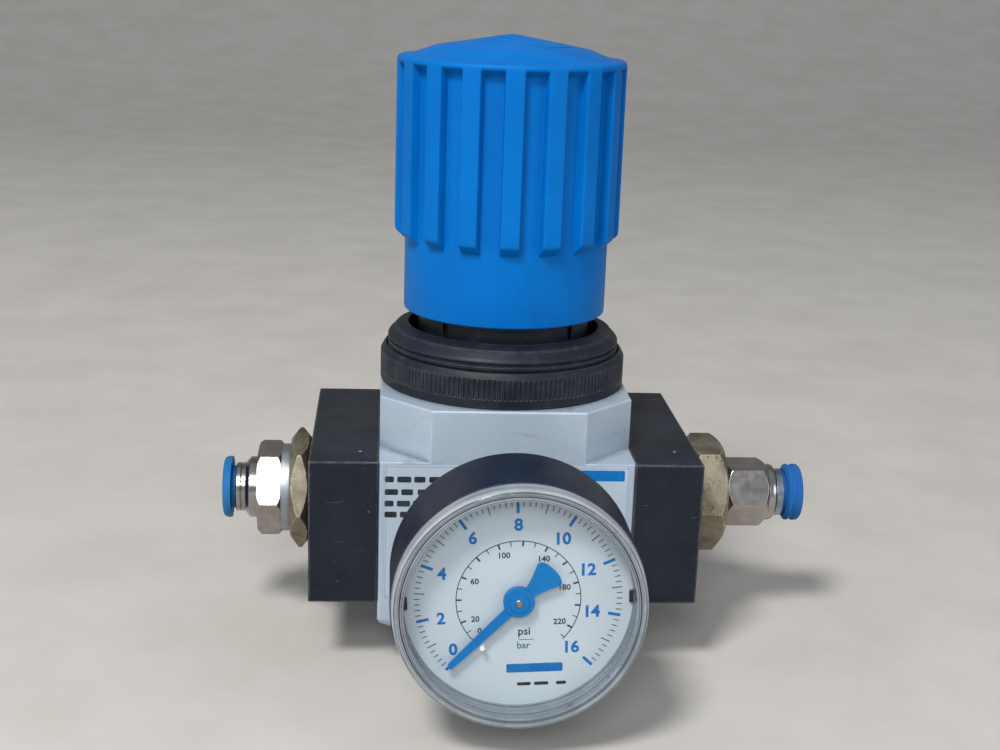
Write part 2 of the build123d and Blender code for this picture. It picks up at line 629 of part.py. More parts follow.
def gauge_stem():
    """Brass stem: threaded end, hexagon, neck, and the block inside that holds the tube."""
    with BuildPart() as stem:
        with BuildSketch(gauge_plane(30.2)):
            RegularPolygon(7.0, 6, major_radius=False)
        extrude(amount=9.8)
        turn([(HALF_D - 9, 0), (HALF_D - 9, 5.9), (HALF_D - 8.4, 6.5), (30.2, 6.5), (30.2, 0)],
             FRONT_SECTION, GAUGE_AXIS)
        turn([(40, 0), (40, 6.0), (BLOCK_BACK, 6.0), (BLOCK_BACK, 0)], FRONT_SECTION, GAUGE_AXIS)
        with BuildSketch(gauge_plane(BLOCK_BACK)) as foot:
            with Locations((-1.0, -6.75)):
                Rectangle(11, 25.5)
        extrude(foot.sketch, amount=PLATE_BACK - BLOCK_BACK)
        turn([(HALF_D - 10, 0), (BLOCK_BACK + 3, 0), (BLOCK_BACK + 3, 1.2), (HALF_D - 10, 1.2)],
             FRONT_SECTION, GAUGE_AXIS, Mode.SUBTRACT)
        with BuildSketch(gauge_plane(PLATE_BACK)) as tapped:
            with Locations(*MOVEMENT_SCREWS):
                Circle(0.85)
        extrude(tapped.sketch, amount=-4, mode=Mode.SUBTRACT)
    return stem


def bourdon_tube():
    """Flattened C-shaped pressure tube, from its tip round to the stem's block."""
    start = radians(TIP_ANGLE + GAUGE_ROLL)
    radial = Plane(origin=(0, 0, PORT_Z), x_dir=(0, -1, 0), z_dir=(-sin(start), 0, cos(start)))
    with BuildPart() as tube:
        with BuildSketch(radial):
            with Locations((TUBE_DEPTH, BOURDON_R)):
                Ellipse(2.4, 0.9)
        revolve(axis=GAUGE_AXIS, revolution_arc=BOURDON_ARC)
    return tube


def tip_block():
    """Block closing the free end of the tube, with the pin that the link slides on."""
    with BuildPart() as tip:
        with BuildSketch(gauge_plane(TUBE_DEPTH - 2.6)):
            with Locations(Location((*TIP_PIN, 0), (0, 0, TIP_ANGLE))):
                Rectangle(3.4, 2.6)
        extrude(amount=5.2)
        with BuildSketch(gauge_plane(TUBE_DEPTH + 2.6)):
            with Locations(TIP_PIN):
                Circle(0.5)
        extrude(amount=LINK_BACK + 1.1 - TUBE_DEPTH - 2.6)
    return tip


def movement_frame():
    """Two brass plates held apart by three posts, with the arbors' bearing holes."""
    with BuildPart() as frame:
        for depth, thickness in ((PLATE_BACK, 0.8), (PLATE_FRONT, 0.7)):
            with BuildSketch(gauge_plane(depth)) as plate:
                with Locations((0, -3.5)):
                    RectangleRounded(19, 22, 3)
                Circle(0.5 + RUNNING_GAP, mode=Mode.SUBTRACT)
                with Locations(SECTOR_PIVOT):
                    Circle(0.8 + RUNNING_GAP, mode=Mode.SUBTRACT)
                if depth == PLATE_BACK:
                    with Locations(*MOVEMENT_SCREWS):
                        Circle(0.95, mode=Mode.SUBTRACT)
            extrude(plate.sketch, amount=thickness)
        with BuildSketch(gauge_plane(PLATE_BACK + 0.8)) as posts:
            with Locations((-7.6, -5), (7.6, -5), (0, 6.0)):
                Circle(1.0)
        extrude(posts.sketch, amount=PLATE_FRONT - PLATE_BACK - 0.8)
    return frame


def movement_screws():
    """Two screws that fix the movement to the stem's block."""
    with BuildPart() as screws:
        for place in MOVEMENT_SCREWS:
            with BuildSketch(gauge_plane(PLATE_BACK + 0.8)) as head:
                with Locations(place):
                    Circle(1.6)
            extrude(head.sketch, amount=0.9)
            with BuildSketch(gauge_plane(PLATE_BACK + 0.8)) as shank:
                with Locations(place):
                    Circle(0.8)
            extrude(shank.sketch, amount=-4.2)
            with BuildSketch(gauge_plane(PLATE_BACK + 1.7)) as slot:
                with Locations(place):
                    Rectangle(4, 0.4)
            extrude(slot.sketch, amount=-0.4, mode=Mode.SUBTRACT)
    return screws


def tooth_points(teeth, pitch_r, centres, shift=(0, 0)):
    """Outline points of trapezoidal gear teeth centred at the given polar angles."""
    pitch_angle = 360 / teeth
    tip_r, root_r = pitch_r + TOOTH_RISE, pitch_r - TOOTH_FALL
    points = []
    for centre in centres:
        for radius, share in ((root_r, -0.24), (tip_r, -0.10), (tip_r, 0.10), (root_r, 0.24)):
            x, y = polar(radius, centre + share * pitch_angle)
            points.append((x + shift[0], y + shift[1]))
    return points


def pinion():
    """Pointer arbor with its ten-tooth pinion."""
    outline = tooth_points(PINION_TEETH, PINION_R, [270 + 36 * i for i in range(PINION_TEETH)])
    with BuildPart() as arbor:
        turn([(PLATE_BACK + 0.05, 0), (PLATE_BACK + 0.05, 0.5), (64.3, 0.5), (64.3, 0.8),
              (66.2, 0.8), (66.4, 0.6), (66.4, 0)], FRONT_SECTION, GAUGE_AXIS)
        with BuildSketch(gauge_plane(SECTOR_BACK - 0.2)) as gear:
            with BuildLine():
                Polyline(*outline, close=True)
            make_face()
        extrude(gear.sketch, amount=1.4)
    return arbor


def sector():
    """Toothed sector on its arbor, with a tail and the pin that carries the link."""
    pivot_x, pivot_y = SECTOR_PIVOT
    first = 90 - SECTOR_TEETH_ANGLE / 2 - 9 * SECTOR_TEETH_ANGLE
    angles = [first + i * SECTOR_TEETH_ANGLE for i in range(12)]
    outline = [(pivot_x - 1.2, pivot_y)] + [(pivot_x + 1.2, pivot_y)]
    teeth = tooth_points(SECTOR_TEETH, SECTOR_R, angles, SECTOR_PIVOT)
    with BuildPart() as piece:
        with BuildSketch(gauge_plane(SECTOR_BACK)) as web:
            with BuildLine():
                Polyline(*outline, *teeth, close=True)
            make_face()
            with Locations(SECTOR_PIVOT):
                Circle(1.9)
            with Locations(LINK_PIN):
                Circle(1.1)
            with Locations(Location((*TAIL_MIDDLE, 0), (0, 0, TAIL_ANGLE))):
                Rectangle(TAIL_LENGTH, 1.8)
        extrude(web.sketch, amount=0.8)
        with BuildSketch(gauge_plane(PLATE_BACK + 0.05)) as arbor:
            with Locations(SECTOR_PIVOT):
                Circle(0.8)
        extrude(arbor.sketch, amount=PLATE_FRONT + 0.6 - PLATE_BACK)
        with BuildSketch(gauge_plane(SECTOR_BACK + 0.8)) as pin:
            with Locations(LINK_PIN):
                Circle(0.5)
        extrude(pin.sketch, amount=1.3)
    return piece


def link():
    """Flat link from the sector's tail to the tube's tip, slotted at the tip."""
    reach_x, reach_y = TIP_PIN[0] - LINK_PIN[0], TIP_PIN[1] - LINK_PIN[1]
    length = sqrt(reach_x ** 2 + reach_y ** 2)
    middle = ((TIP_PIN[0] + LINK_PIN[0]) / 2, (TIP_PIN[1] + LINK_PIN[1]) / 2, 0)
    slot_middle = (TIP_PIN[0] - LINK_TRAVEL / 2, TIP_PIN[1] + 0.05)
    with BuildPart() as bar:
        with BuildSketch(gauge_plane(LINK_BACK)) as outline:
            with Locations(LINK_PIN):
                Circle(1.2)
            with Locations(Location(middle, (0, 0, degrees(atan2(reach_y, reach_x))))):
                Rectangle(length - 2, 1.3)
            with Locations(slot_middle):
                SlotOverall(LINK_TRAVEL + 3.6, 3.6)
                SlotOverall(LINK_TRAVEL + 1.7, 1.7, mode=Mode.SUBTRACT)
            with Locations(LINK_PIN):
                Circle(0.5 + RUNNING_GAP, mode=Mode.SUBTRACT)
        extrude(outline.sketch, amount=0.6)
    return bar


def hairspring():
    """Flat spiral of fine strip that takes up the play of the gear teeth."""
    half_turns, inner_r, growth = 8, 1.2, 0.32
    with BuildPart() as spring:
        with BuildSketch(gauge_plane(61.0)):
            with BuildLine():
                for i in range(half_turns):
                    CenterArc((growth if i % 2 else 0, 0), inner_r + growth * i, 180 * i, 180)
            trace(line_width=0.18)
        extrude(amount=0.4)
    return spring


def dial():
    """White dial plate with a centre hole and a notch at each side."""
    with BuildPart() as plate:
        with BuildSketch(gauge_plane(DIAL_FRONT - 0.6)):
            Circle(DIAL_R)
            Circle(1.6, mode=Mode.SUBTRACT)
            with Locations((-DIAL_R, 0), (DIAL_R, 0)):
                Rectangle(2.2, 2.6, mode=Mode.SUBTRACT)
        extrude(amount=0.6)
    return plate


def stop_pin():
    """White pin on the dial where the pointer comes to rest."""
    with BuildPart() as pin:
        with BuildSketch(gauge_plane(DIAL_FRONT)):
            with Locations(polar(11.7, POINTER_REST + 7.9)):
                Circle(0.5)
        extrude(amount=2.0)
    return pin


def pointer():
    """Blue pointer: tapered blade with an oblique tip, hub, and fan-shaped counterweight."""
    blade = [(0, -1.05), (12, -0.78), (18.6, -0.6), (19.5, -0.1), (18.9, 0.6), (12, 0.78), (0, 1.05)]
    fan = [(0, 1.1), (-3.4, 1.2), (-5.6, 2.0), (-8.0, 3.1), (-8.7, 2.9), (-9.2, 2.0), (-9.4, 0.8),
           (-9.4, -0.8), (-9.2, -2.0), (-8.7, -2.9), (-8.0, -3.1), (-5.6, -2.0), (-3.4, -1.2),
           (0, -1.1)]
    with BuildPart() as hand:
        with BuildSketch(gauge_plane(DIAL_FRONT + 1.1)) as flat:
            with Locations(Location((0, 0, 0), (0, 0, POINTER_REST))):
                for outline in (blade, fan):
                    Polygon(*outline, align=None)
            Circle(0.82, mode=Mode.SUBTRACT)
        extrude(flat.sketch, amount=0.6)
        turn([(DIAL_FRONT + 0.6, 0.82), (DIAL_FRONT + 2.2, 0.82), (DIAL_FRONT + 2.2, 1.85),
              (DIAL_FRONT + 1.9, 1.95), (DIAL_FRONT + 1.9, 2.9), (DIAL_FRONT + 1.7, 3.05),
              (DIAL_FRONT + 0.6, 3.05)], FRONT_SECTION, GAUGE_AXIS)
    return hand


def window():
    """Clear snap-on window: flat front, side wall over the case, and a spigot that holds the dial."""
    inner_face = WINDOW_FRONT - 1.7
    with BuildPart() as lens:
        turn([(inner_face, 0), (inner_face, 22.3), (DIAL_FRONT + 0.04, 22.3),
              (DIAL_FRONT + 0.04, 23.2), (CASE_FRONT + 0.04, 23.2), (CASE_FRONT + 0.04, 24.85),
              (WINDOW_FRONT - 0.7, 24.55), (WINDOW_FRONT - 0.2, 24.3), (WINDOW_FRONT, 23.8),
              (WINDOW_FRONT, 23.3), (WINDOW_FRONT - 0.3, 23.1), (WINDOW_FRONT - 0.3, 0)],
             FRONT_SECTION, GAUGE_AXIS)
    return lens


PIECES = {
    "housing": housing(),
    "bottom_plug": bottom_plug(),
    "bottom_plug_o_ring": o_ring_part(14.15, 0.74, 12.3, UPRIGHT_SECTION, Axis.Z),
    "rear_port_plug": rear_plug(),
    "rear_port_seal": ring_part(6.7, 8.2, HALF_D, HALF_D + 1.0, REAR_SECTION, GAUGE_AXIS),
    "front_label": front_label(),
    "inlet_plate": port_plate(INLET),
    "outlet_plate": port_plate(OUTLET),
    "inlet_plate_screws": plate_screws(INLET),
    "outlet_plate_screws": plate_screws(OUTLET),
    "inlet_plate_o_ring": o_ring_part(11.1, 0.62, -14.37, port_plane(INLET), PORT_AXIS),
    "outlet_plate_o_ring": o_ring_part(11.1, 0.62, -14.37, port_plane(OUTLET), PORT_AXIS),
    "inlet_reducer": reducer(INLET, 0.7, 5.2, 20),
    "outlet_reducer": reducer(OUTLET, 1.5, 9.8, -26),
    "inlet_reducer_seal": ring_part(10.35, 11.4, 0, 0.68, port_plane(INLET), PORT_AXIS),
    "outlet_reducer_seal": ring_part(10.35, 11.4, 0, 1.48, port_plane(OUTLET), PORT_AXIS),
    "inlet_fitting_body": inlet_fitting_body(),
    "inlet_fitting_washer": ring_part(6.7, 10.05, 5.22, 7.18, port_plane(INLET), PORT_AXIS),
    "inlet_tube_seal": o_ring_part(4.76, 0.62, 6.85, port_plane(INLET), PORT_AXIS),
    "inlet_grab_ring": grab_ring(INLET, 17.7),
    "inlet_release_ring": inlet_release_ring(),
    "outlet_fitting_body": outlet_fitting_body(),
    "outlet_fitting_collar": outlet_collar(),
    "outlet_tube_seal": o_ring_part(4.76, 0.62, 11.85, port_plane(OUTLET), PORT_AXIS),
    "outlet_grab_ring": grab_ring(OUTLET, 22.7),
    "outlet_release_ring": outlet_release_ring(),
    "bonnet": bonnet(),
    "panel_nut": panel_nut(),
    "knob": knob(),
    "knob_clip": knob_clip(),
    "spindle": spindle(),
    "spindle_washer": ring_part(5.3, 9.0, 106.42, 107.45, UPRIGHT_SECTION, Axis.Z),
    "spindle_circlip": spindle_circlip(),
    "spring_seat": spring_seat(),
    "main_spring": coil_part(13.0, 1.6, 60.2, SEAT_Z, 5.5),
    "spring_plate": spring_plate(),
    "diaphragm": diaphragm(),
    "diaphragm_disc": diaphragm_disc(),
    "diaphragm_nut": diaphragm_nut(),
    "valve_seat": valve_seat(),
    "valve_stem": valve_stem(),
    "valve_poppet": poppet(),
    "poppet_seal": poppet_seal(),
    "poppet_o_ring": o_ring_part(3.8, 0.68, 17.2, UPRIGHT_SECTION, Axis.Z),
    "valve_spring": coil_part(6.4, 0.4, 16.0, 28.6, 6),
    "gauge_case": gauge_case(),
    "gauge_stem": gauge_stem(),
    "gauge_seal_ring": ring_part(6.7, 8.6, HALF_D, 30.18, FRONT_SECTION, GAUGE_AXIS),
    "gauge_bourdon_tube": bourdon_tube(),
    "gauge_tip_block": tip_block(),
    "gauge_movement_frame": movement_frame(),
    "gauge_movement_screws": movement_screws(),
    "gauge_pinion": pinion(),
    "gauge_sector": sector(),
    "gauge_link": link(),
    "gauge_hairspring": hairspring(),
    "gauge_dial": dial(),
    "gauge_stop_pin": stop_pin(),
    "gauge_pointer": pointer(),
    "gauge_window": window(),
}

os.makedirs("parts", exist_ok=True)
for piece_name, piece_made in PIECES.items():
    save(piece_made, piece_name)
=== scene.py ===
import json
from math import atan2, cos, pi, radians, sin

import bmesh
import bpy
from mathutils import Matrix, Vector


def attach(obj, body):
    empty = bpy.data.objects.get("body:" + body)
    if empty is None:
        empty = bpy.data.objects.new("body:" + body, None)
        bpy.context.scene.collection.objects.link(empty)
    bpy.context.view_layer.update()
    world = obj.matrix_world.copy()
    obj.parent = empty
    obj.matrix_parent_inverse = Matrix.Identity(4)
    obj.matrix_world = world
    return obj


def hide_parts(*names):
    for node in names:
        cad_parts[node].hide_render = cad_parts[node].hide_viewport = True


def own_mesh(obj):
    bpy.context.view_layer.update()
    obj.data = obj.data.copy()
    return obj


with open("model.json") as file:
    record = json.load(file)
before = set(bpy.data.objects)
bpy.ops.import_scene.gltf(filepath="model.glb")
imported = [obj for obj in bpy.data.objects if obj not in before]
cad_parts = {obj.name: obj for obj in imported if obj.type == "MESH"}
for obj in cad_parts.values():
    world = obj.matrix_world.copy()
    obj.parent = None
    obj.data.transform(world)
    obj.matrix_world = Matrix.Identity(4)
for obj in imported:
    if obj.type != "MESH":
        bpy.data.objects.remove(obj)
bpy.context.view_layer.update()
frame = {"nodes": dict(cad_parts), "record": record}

NODES = frame["nodes"]
MM = 0.001
PORT_Z = 32.0           # height of the ports and of the gauge axis, mm


# ---------------------------------------------------------------- camera
def look_through(azimuth, elevation, roll):
    """Rotation of a camera that looks along +Y at azimuth 0."""
    az, el, ro = radians(azimuth), radians(elevation), radians(roll)
    back = Vector((sin(az) * cos(el), -cos(az) * cos(el), sin(el)))
    right = (-back).cross(Vector((0, 0, 1))).normalized()
    up = right.cross(-back)
    x_dir = right * cos(ro) + up * sin(ro)
    y_dir = up * cos(ro) - right * sin(ro)
    return Matrix((x_dir, y_dir, back)).transposed().to_4x4()


LENS = 55.69
CAMERA_PLACE = (-0.02605, -0.34087, 0.15285)
AZIMUTH, ELEVATION, ROLL = -4.32, 15.26, 2.0

camera_data = bpy.data.cameras.new("camera")
camera_data.sensor_width = 36.0
camera_data.lens = LENS
camera_data.clip_start = 0.01
camera = bpy.data.objects.new("camera", camera_data)
bpy.context.scene.collection.objects.link(camera)
camera.matrix_world = Matrix.Translation(CAMERA_PLACE) @ look_through(AZIMUTH, ELEVATION, ROLL)
bpy.context.scene.camera = camera
bpy.context.scene.view_settings.view_transform = "Standard"


# ---------------------------------------------------------------- materials
def srgb(r, g, b):
    """Linear colour from 0-255 display values."""
    def linear(v):
        v = v / 255
        return v / 12.92 if v <= 0.04045 else ((v + 0.055) / 1.055) ** 2.4
    return (linear(r), linear(g), linear(b), 1.0)


class Finish:
    """A node material that is built up layer by layer around one Principled shader."""

    def __init__(self, name, metallic=0.0, **constants):
        self.material = bpy.data.materials.new(name)
        self.material.use_nodes = True
        self.tree = self.material.node_tree
        self.tree.nodes.clear()
        self.shader = self.add("ShaderNodeBsdfPrincipled")
        self.shader.inputs["Metallic"].default_value = metallic
        for socket, value in constants.items():
            self.shader.inputs[socket.replace("_", " ")].default_value = value
        self.output = self.add("ShaderNodeOutputMaterial")
        self.join(self.shader.outputs[0], self.output.inputs["Surface"])
        self.place = self.add("ShaderNodeTexCoord").outputs["Object"]
        self.height = None

    def add(self, kind, **settings):
        node = self.tree.nodes.new(kind)
        for key, value in settings.items():
            setattr(node, key, value)
        return node

    def join(self, output, socket):
        self.tree.links.new(output, socket)

    def feed(self, socket, value):
        if isinstance(value, (int, float, tuple)):
            socket.default_value = value
        else:
            self.join(value, socket)

    def stretched(self, scale):
        node = self.add("ShaderNodeMapping")
        node.inputs["Scale"].default_value = scale
        self.join(self.place, node.inputs["Vector"])
        return node.outputs[0]

    def noise(self, scale, detail=3.0, rough=0.55, stretch=None, distortion=0.0):
        node = self.add("ShaderNodeTexNoise")
        self.join(self.stretched(stretch) if stretch else self.place, node.inputs["Vector"])
        node.inputs["Scale"].default_value = scale
        node.inputs["Detail"].default_value = detail
        node.inputs["Roughness"].default_value = rough
        node.inputs["Distortion"].default_value = distortion
        return node.outputs["Fac"]

    def ramp(self, value, low, high, out_low=0.0, out_high=1.0):
        node = self.add("ShaderNodeMapRange")
        node.interpolation_type = "SMOOTHSTEP"
        self.feed(node.inputs["Value"], value)
        for socket, number in (("From Min", low), ("From Max", high),
                               ("To Min", out_low), ("To Max", out_high)):
            node.inputs[socket].default_value = number
        return node.outputs[0]

    def math(self, operation, a, b=0.0):
        node = self.add("ShaderNodeMath", operation=operation)
        self.feed(node.inputs[0], a)
        self.feed(node.inputs[1], b)
        return node.outputs[0]

    def mix(self, share, first, second):
        node = self.add("ShaderNodeMix", data_type="RGBA")
        self.feed(node.inputs["Factor"], share)
        self.feed(node.inputs["A"], first)
        self.feed(node.inputs["B"], second)
        return node.outputs["Result"]

    def edges(self, radius, low=0.004, high=0.06):
        """1 on sharp edges, 0 on flat areas."""
        bevel = self.add("ShaderNodeBevel", samples=6)
        bevel.inputs["Radius"].default_value = radius
        dot = self.add("ShaderNodeVectorMath", operation="DOT_PRODUCT")
        self.join(bevel.outputs[0], dot.inputs[0])
        self.join(self.add("ShaderNodeNewGeometry").outputs["Normal"], dot.inputs[1])
        return self.ramp(self.math("SUBTRACT", 1.0, dot.outputs["Value"]), low, high)

    def hollows(self, distance, low=0.35, high=0.9):
        """1 in corners and grooves, 0 in the open."""
        node = self.add("ShaderNodeAmbientOcclusion", samples=6)
        node.inputs["Distance"].default_value = distance
        return self.ramp(node.outputs["AO"], low, high, 1.0, 0.0)

    def cells(self, scale, size, stretch=None):
        """Small separate spots, one in each cell, 1 inside a spot."""
        node = self.add("ShaderNodeTexVoronoi", feature="F1")
        self.join(self.stretched(stretch) if stretch else self.place, node.inputs["Vector"])
        node.inputs["Scale"].default_value = scale
        return self.ramp(node.outputs["Distance"], size, size * 0.6)

    def raise_by(self, value, depth):
        """Adds a height, in metres, to the surface."""
        scaled = self.math("MULTIPLY", value, depth)
        self.height = scaled if self.height is None else self.math("ADD", self.height, scaled)

    def done(self, colour, roughness, round_edges=0.0):
        self.feed(self.shader.inputs["Base Color"], colour)
        self.feed(self.shader.inputs["Roughness"], roughness)
        normal = None
        if round_edges:
            bevel = self.add("ShaderNodeBevel", samples=6)
            bevel.inputs["Radius"].default_value = round_edges
            normal = bevel.outputs[0]
        if self.height is not None:
            bump = self.add("ShaderNodeBump")
            bump.inputs["Strength"].default_value = 1.0
            bump.inputs["Distance"].default_value = 1.0
            self.join(self.height, bump.inputs["Height"])
            if normal is not None:
                self.join(normal, bump.inputs["Normal"])
            normal = bump.outputs[0]
        if normal is not None:
            self.join(normal, self.shader.inputs["Normal"])
        return self.material


def housing_paint():
    f = Finish("housing_paint", metallic=0.25)
    grain = f.noise(2600, 2)
    cloud = f.noise(38, 4, 0.6)
    base = f.mix(f.ramp(cloud, 0.3, 0.7), srgb(164, 178, 195), srgb(174, 188, 204))
    base = f.mix(f.ramp(grain, 0.42, 0.62, 0.0, 0.14), base, srgb(196, 208, 220))
    smear = f.noise(60, 5, 0.65, (1.0, 1.0, 3.2), 1.4)
    base = f.mix(f.ramp(smear, 0.60, 0.72, 0.0, 0.45), base, srgb(118, 124, 134))
    dust = f.noise(420, 4, 0.7)
    base = f.mix(f.ramp(dust, 0.70, 0.78, 0.0, 0.5), base, srgb(96, 96, 100))
    # painted shade: darker grey in corners and grooves, from the occlusion mask, patchy with the cloud noise
    hollow_shade = f.math("MULTIPLY", f.hollows(0.003), f.ramp(cloud, 0.3, 0.6, 0.3, 0.75))
    base = f.mix(hollow_shade, base, srgb(88, 90, 96))
    worn = f.math("MULTIPLY", f.edges(0.0004), f.ramp(f.noise(300, 3), 0.45, 0.62))
    base = f.mix(f.math("MULTIPLY", worn, 0.6), base, srgb(214, 220, 226))
    f.raise_by(grain, 0.0000025)
    f.raise_by(f.noise(300, 3), 0.000012)
    return f.done(base, f.ramp(f.noise(90, 4), 0.3, 0.7, 0.38, 0.52), 0.0004)


def plate_black():
    f = Finish("plate_black", Specular_IOR_Level=0.2)
    cloud = f.noise(55, 4, 0.6)
    base = f.mix(f.ramp(cloud, 0.3, 0.7), srgb(22, 27, 36), srgb(30, 35, 45))
    base = f.mix(f.ramp(f.noise(900, 3), 0.5, 0.75, 0.0, 0.2), base, srgb(52, 56, 64))
    specks = f.math("MULTIPLY", f.cells(260, 0.13), f.ramp(f.noise(150, 2), 0.58, 0.66))
    base = f.mix(f.math("MULTIPLY", specks, 0.8), base, srgb(176, 178, 180))
    scratch = f.ramp(f.noise(150, 2, 0.4, (1.0, 0.25, 14.0), 0.6), 0.71, 0.75)
    base = f.mix(f.math("MULTIPLY", scratch, 0.4), base, srgb(104, 108, 116))
    worn = f.math("MULTIPLY", f.edges(0.0005, 0.003, 0.05), f.ramp(f.noise(260, 3), 0.35, 0.6, 0.35, 1.0))
    base = f.mix(f.math("MULTIPLY", worn, 0.75), base, srgb(150, 154, 162))
    f.raise_by(f.noise(1500, 2), 0.000008)
    f.raise_by(specks, 0.00002)
    return f.done(base, f.ramp(f.noise(70, 4), 0.3, 0.7, 0.36, 0.5), 0.0004)


def brass(name="brass"):
    f = Finish(name, metallic=0.75)
    cloud = f.noise(170, 4, 0.6)
    base = f.mix(f.ramp(cloud, 0.35, 0.65), srgb(122, 112, 95), srgb(148, 141, 122))
    stain = f.ramp(f.noise(75, 5, 0.7, None, 1.2), 0.52, 0.66)
    base = f.mix(f.math("MULTIPLY", stain, 0.75), base, srgb(88, 72, 56))
    pits = f.math("MULTIPLY", f.cells(900, 0.24), f.ramp(f.noise(320, 3), 0.5, 0.62))
    base = f.mix(f.math("MULTIPLY", pits, 0.8), base, srgb(66, 50, 34))
    # painted shade: darker brown in corners and grooves, from the occlusion mask
    base = f.mix(f.math("MULTIPLY", f.hollows(0.002), 0.6), base, srgb(70, 54, 38))
    worn = f.math("MULTIPLY", f.edges(0.0004), f.ramp(f.noise(400, 3), 0.4, 0.6))
    base = f.mix(worn, base, srgb(206, 200, 176))
    f.raise_by(cloud, 0.00008)
    f.raise_by(pits, -0.00005)
    return f.done(base, f.ramp(f.noise(240, 4), 0.3, 0.7, 0.30, 0.55), 0.0003)


def plated(name, light, dark, rough, turned=0.0):
    f = Finish(name, metallic=1.0)
    cloud = f.noise(210, 4, 0.6)
    base = f.mix(f.ramp(cloud, 0.3, 0.7), dark, light)
    base = f.mix(f.ramp(f.noise(900, 4, 0.7), 0.62, 0.72, 0.0, 0.5), base, srgb(120, 114, 106))
    # painted shade: darker grey in corners and grooves, from the occlusion mask
    base = f.mix(f.math("MULTIPLY", f.hollows(0.0015), 0.5), base, srgb(92, 86, 80))
    rings = f.noise(1800, 2, 0.5, (1.0, 0.02, 0.02))
    if turned:
        f.raise_by(rings, turned)
    f.raise_by(f.noise(700, 3), 0.000006)
    return f.done(base, f.ramp(f.noise(330, 4), 0.3, 0.7, rough, rough + 0.12), 0.0002)


def black_plastic(name, base_low, base_high, worn_to, wear, rough, dusty=0.35):
    f = Finish(name, Specular_IOR_Level=0.28)
    cloud = f.noise(80, 4, 0.6)
    base = f.mix(f.ramp(cloud, 0.3, 0.7), base_low, base_high)
    dust = f.ramp(f.noise(240, 5, 0.72), 0.5, 0.75, 0.0, dusty)
    base = f.mix(dust, base, srgb(112, 110, 106))
    base = f.mix(f.math("MULTIPLY", f.hollows(0.0012), dusty * 0.8), base, srgb(86, 82, 76))
    worn = f.math("MULTIPLY", f.edges(0.00025, 0.003, 0.05), f.ramp(f.noise(330, 3), 0.35, 0.65, 0.25, 1.0))
    base = f.mix(f.math("MULTIPLY", worn, wear), base, worn_to)
    f.raise_by(f.noise(1900, 2), 0.000008)
    f.raise_by(f.noise(160, 4), 0.00002)
    return f.done(base, f.ramp(f.noise(120, 4), 0.3, 0.7, rough, rough + 0.16), 0.0002)


def blue_plastic(name, main, light, deep, rough):
    f = Finish(name, Specular_IOR_Level=0.08)
    cloud = f.noise(34, 4, 0.6)
    base = f.mix(f.ramp(cloud, 0.3, 0.7), main, light)
    streak = f.noise(60, 4, 0.6, (1.0, 1.0, 0.3), 0.4)
    base = f.mix(f.ramp(streak, 0.55, 0.8, 0.0, 0.2), base, deep)
    # painted shade: deeper blue in corners and grooves, from the occlusion mask
    base = f.mix(f.math("MULTIPLY", f.hollows(0.0016, 0.25, 0.8), 0.45), base, deep)
    worn = f.math("MULTIPLY", f.edges(0.00022, 0.002, 0.04), f.ramp(f.noise(240, 3), 0.35, 0.6, 0.4, 1.0))
    base = f.mix(f.math("MULTIPLY", worn, 0.55), base, srgb(20, 128, 205))
    dust = f.ramp(f.noise(520, 5, 0.75), 0.70, 0.80, 0.0, 0.2)
    base = f.mix(dust, base, srgb(110, 156, 200))
    f.raise_by(f.noise(1400, 2), 0.000007)
    f.raise_by(f.noise(110, 3, 0.5, (1.0, 1.0, 0.25)), 0.00005)
    return f.done(base, f.ramp(f.noise(60, 4), 0.3, 0.7, rough, rough + 0.12))


def plain_metal(name, light, dark, rough, metallic=1.0):
    f = Finish(name, metallic=metallic)
    base = f.mix(f.ramp(f.noise(260, 4, 0.6), 0.3, 0.7), dark, light)
    # painted shade: darker in corners and grooves, from the occlusion mask
    base = f.mix(f.math("MULTIPLY", f.hollows(0.001), 0.5), base, srgb(60, 56, 50))
    f.raise_by(f.noise(1500, 3), 0.000006)
    return f.done(base, f.ramp(f.noise(400, 4), 0.3, 0.7, rough, rough + 0.14))


def rubber():
    f = Finish("rubber", Specular_IOR_Level=0.35)
    base = f.mix(f.ramp(f.noise(200, 4), 0.3, 0.7), srgb(22, 22, 23), srgb(38, 38, 39))
    f.raise_by(f.noise(900, 3), 0.00001)
    return f.done(base, f.ramp(f.noise(300, 3), 0.3, 0.7, 0.55, 0.75))


def paper(name, light, dark, rough, dots=0.0, specular=0.4):
    f = Finish(name, Specular_IOR_Level=specular)
    base = f.mix(f.ramp(f.noise(45, 4, 0.6), 0.3, 0.7), dark, light)
    if dots:
        base = f.mix(f.ramp(f.noise(520, 4, 0.7), 0.68, 0.76, 0.0, dots), base, srgb(120, 126, 134))
    f.raise_by(f.noise(1800, 2), 0.000003)
    return f.done(base, f.ramp(f.noise(70, 3), 0.3, 0.7, rough, rough + 0.1))


def ink(name, first, second):
    f = Finish(name, Specular_IOR_Level=0.15)
    base = f.mix(f.ramp(f.noise(900, 3), 0.35, 0.7), first, second)
    return f.done(base, f.ramp(f.noise(300, 2), 0.3, 0.7, 0.45, 0.6))


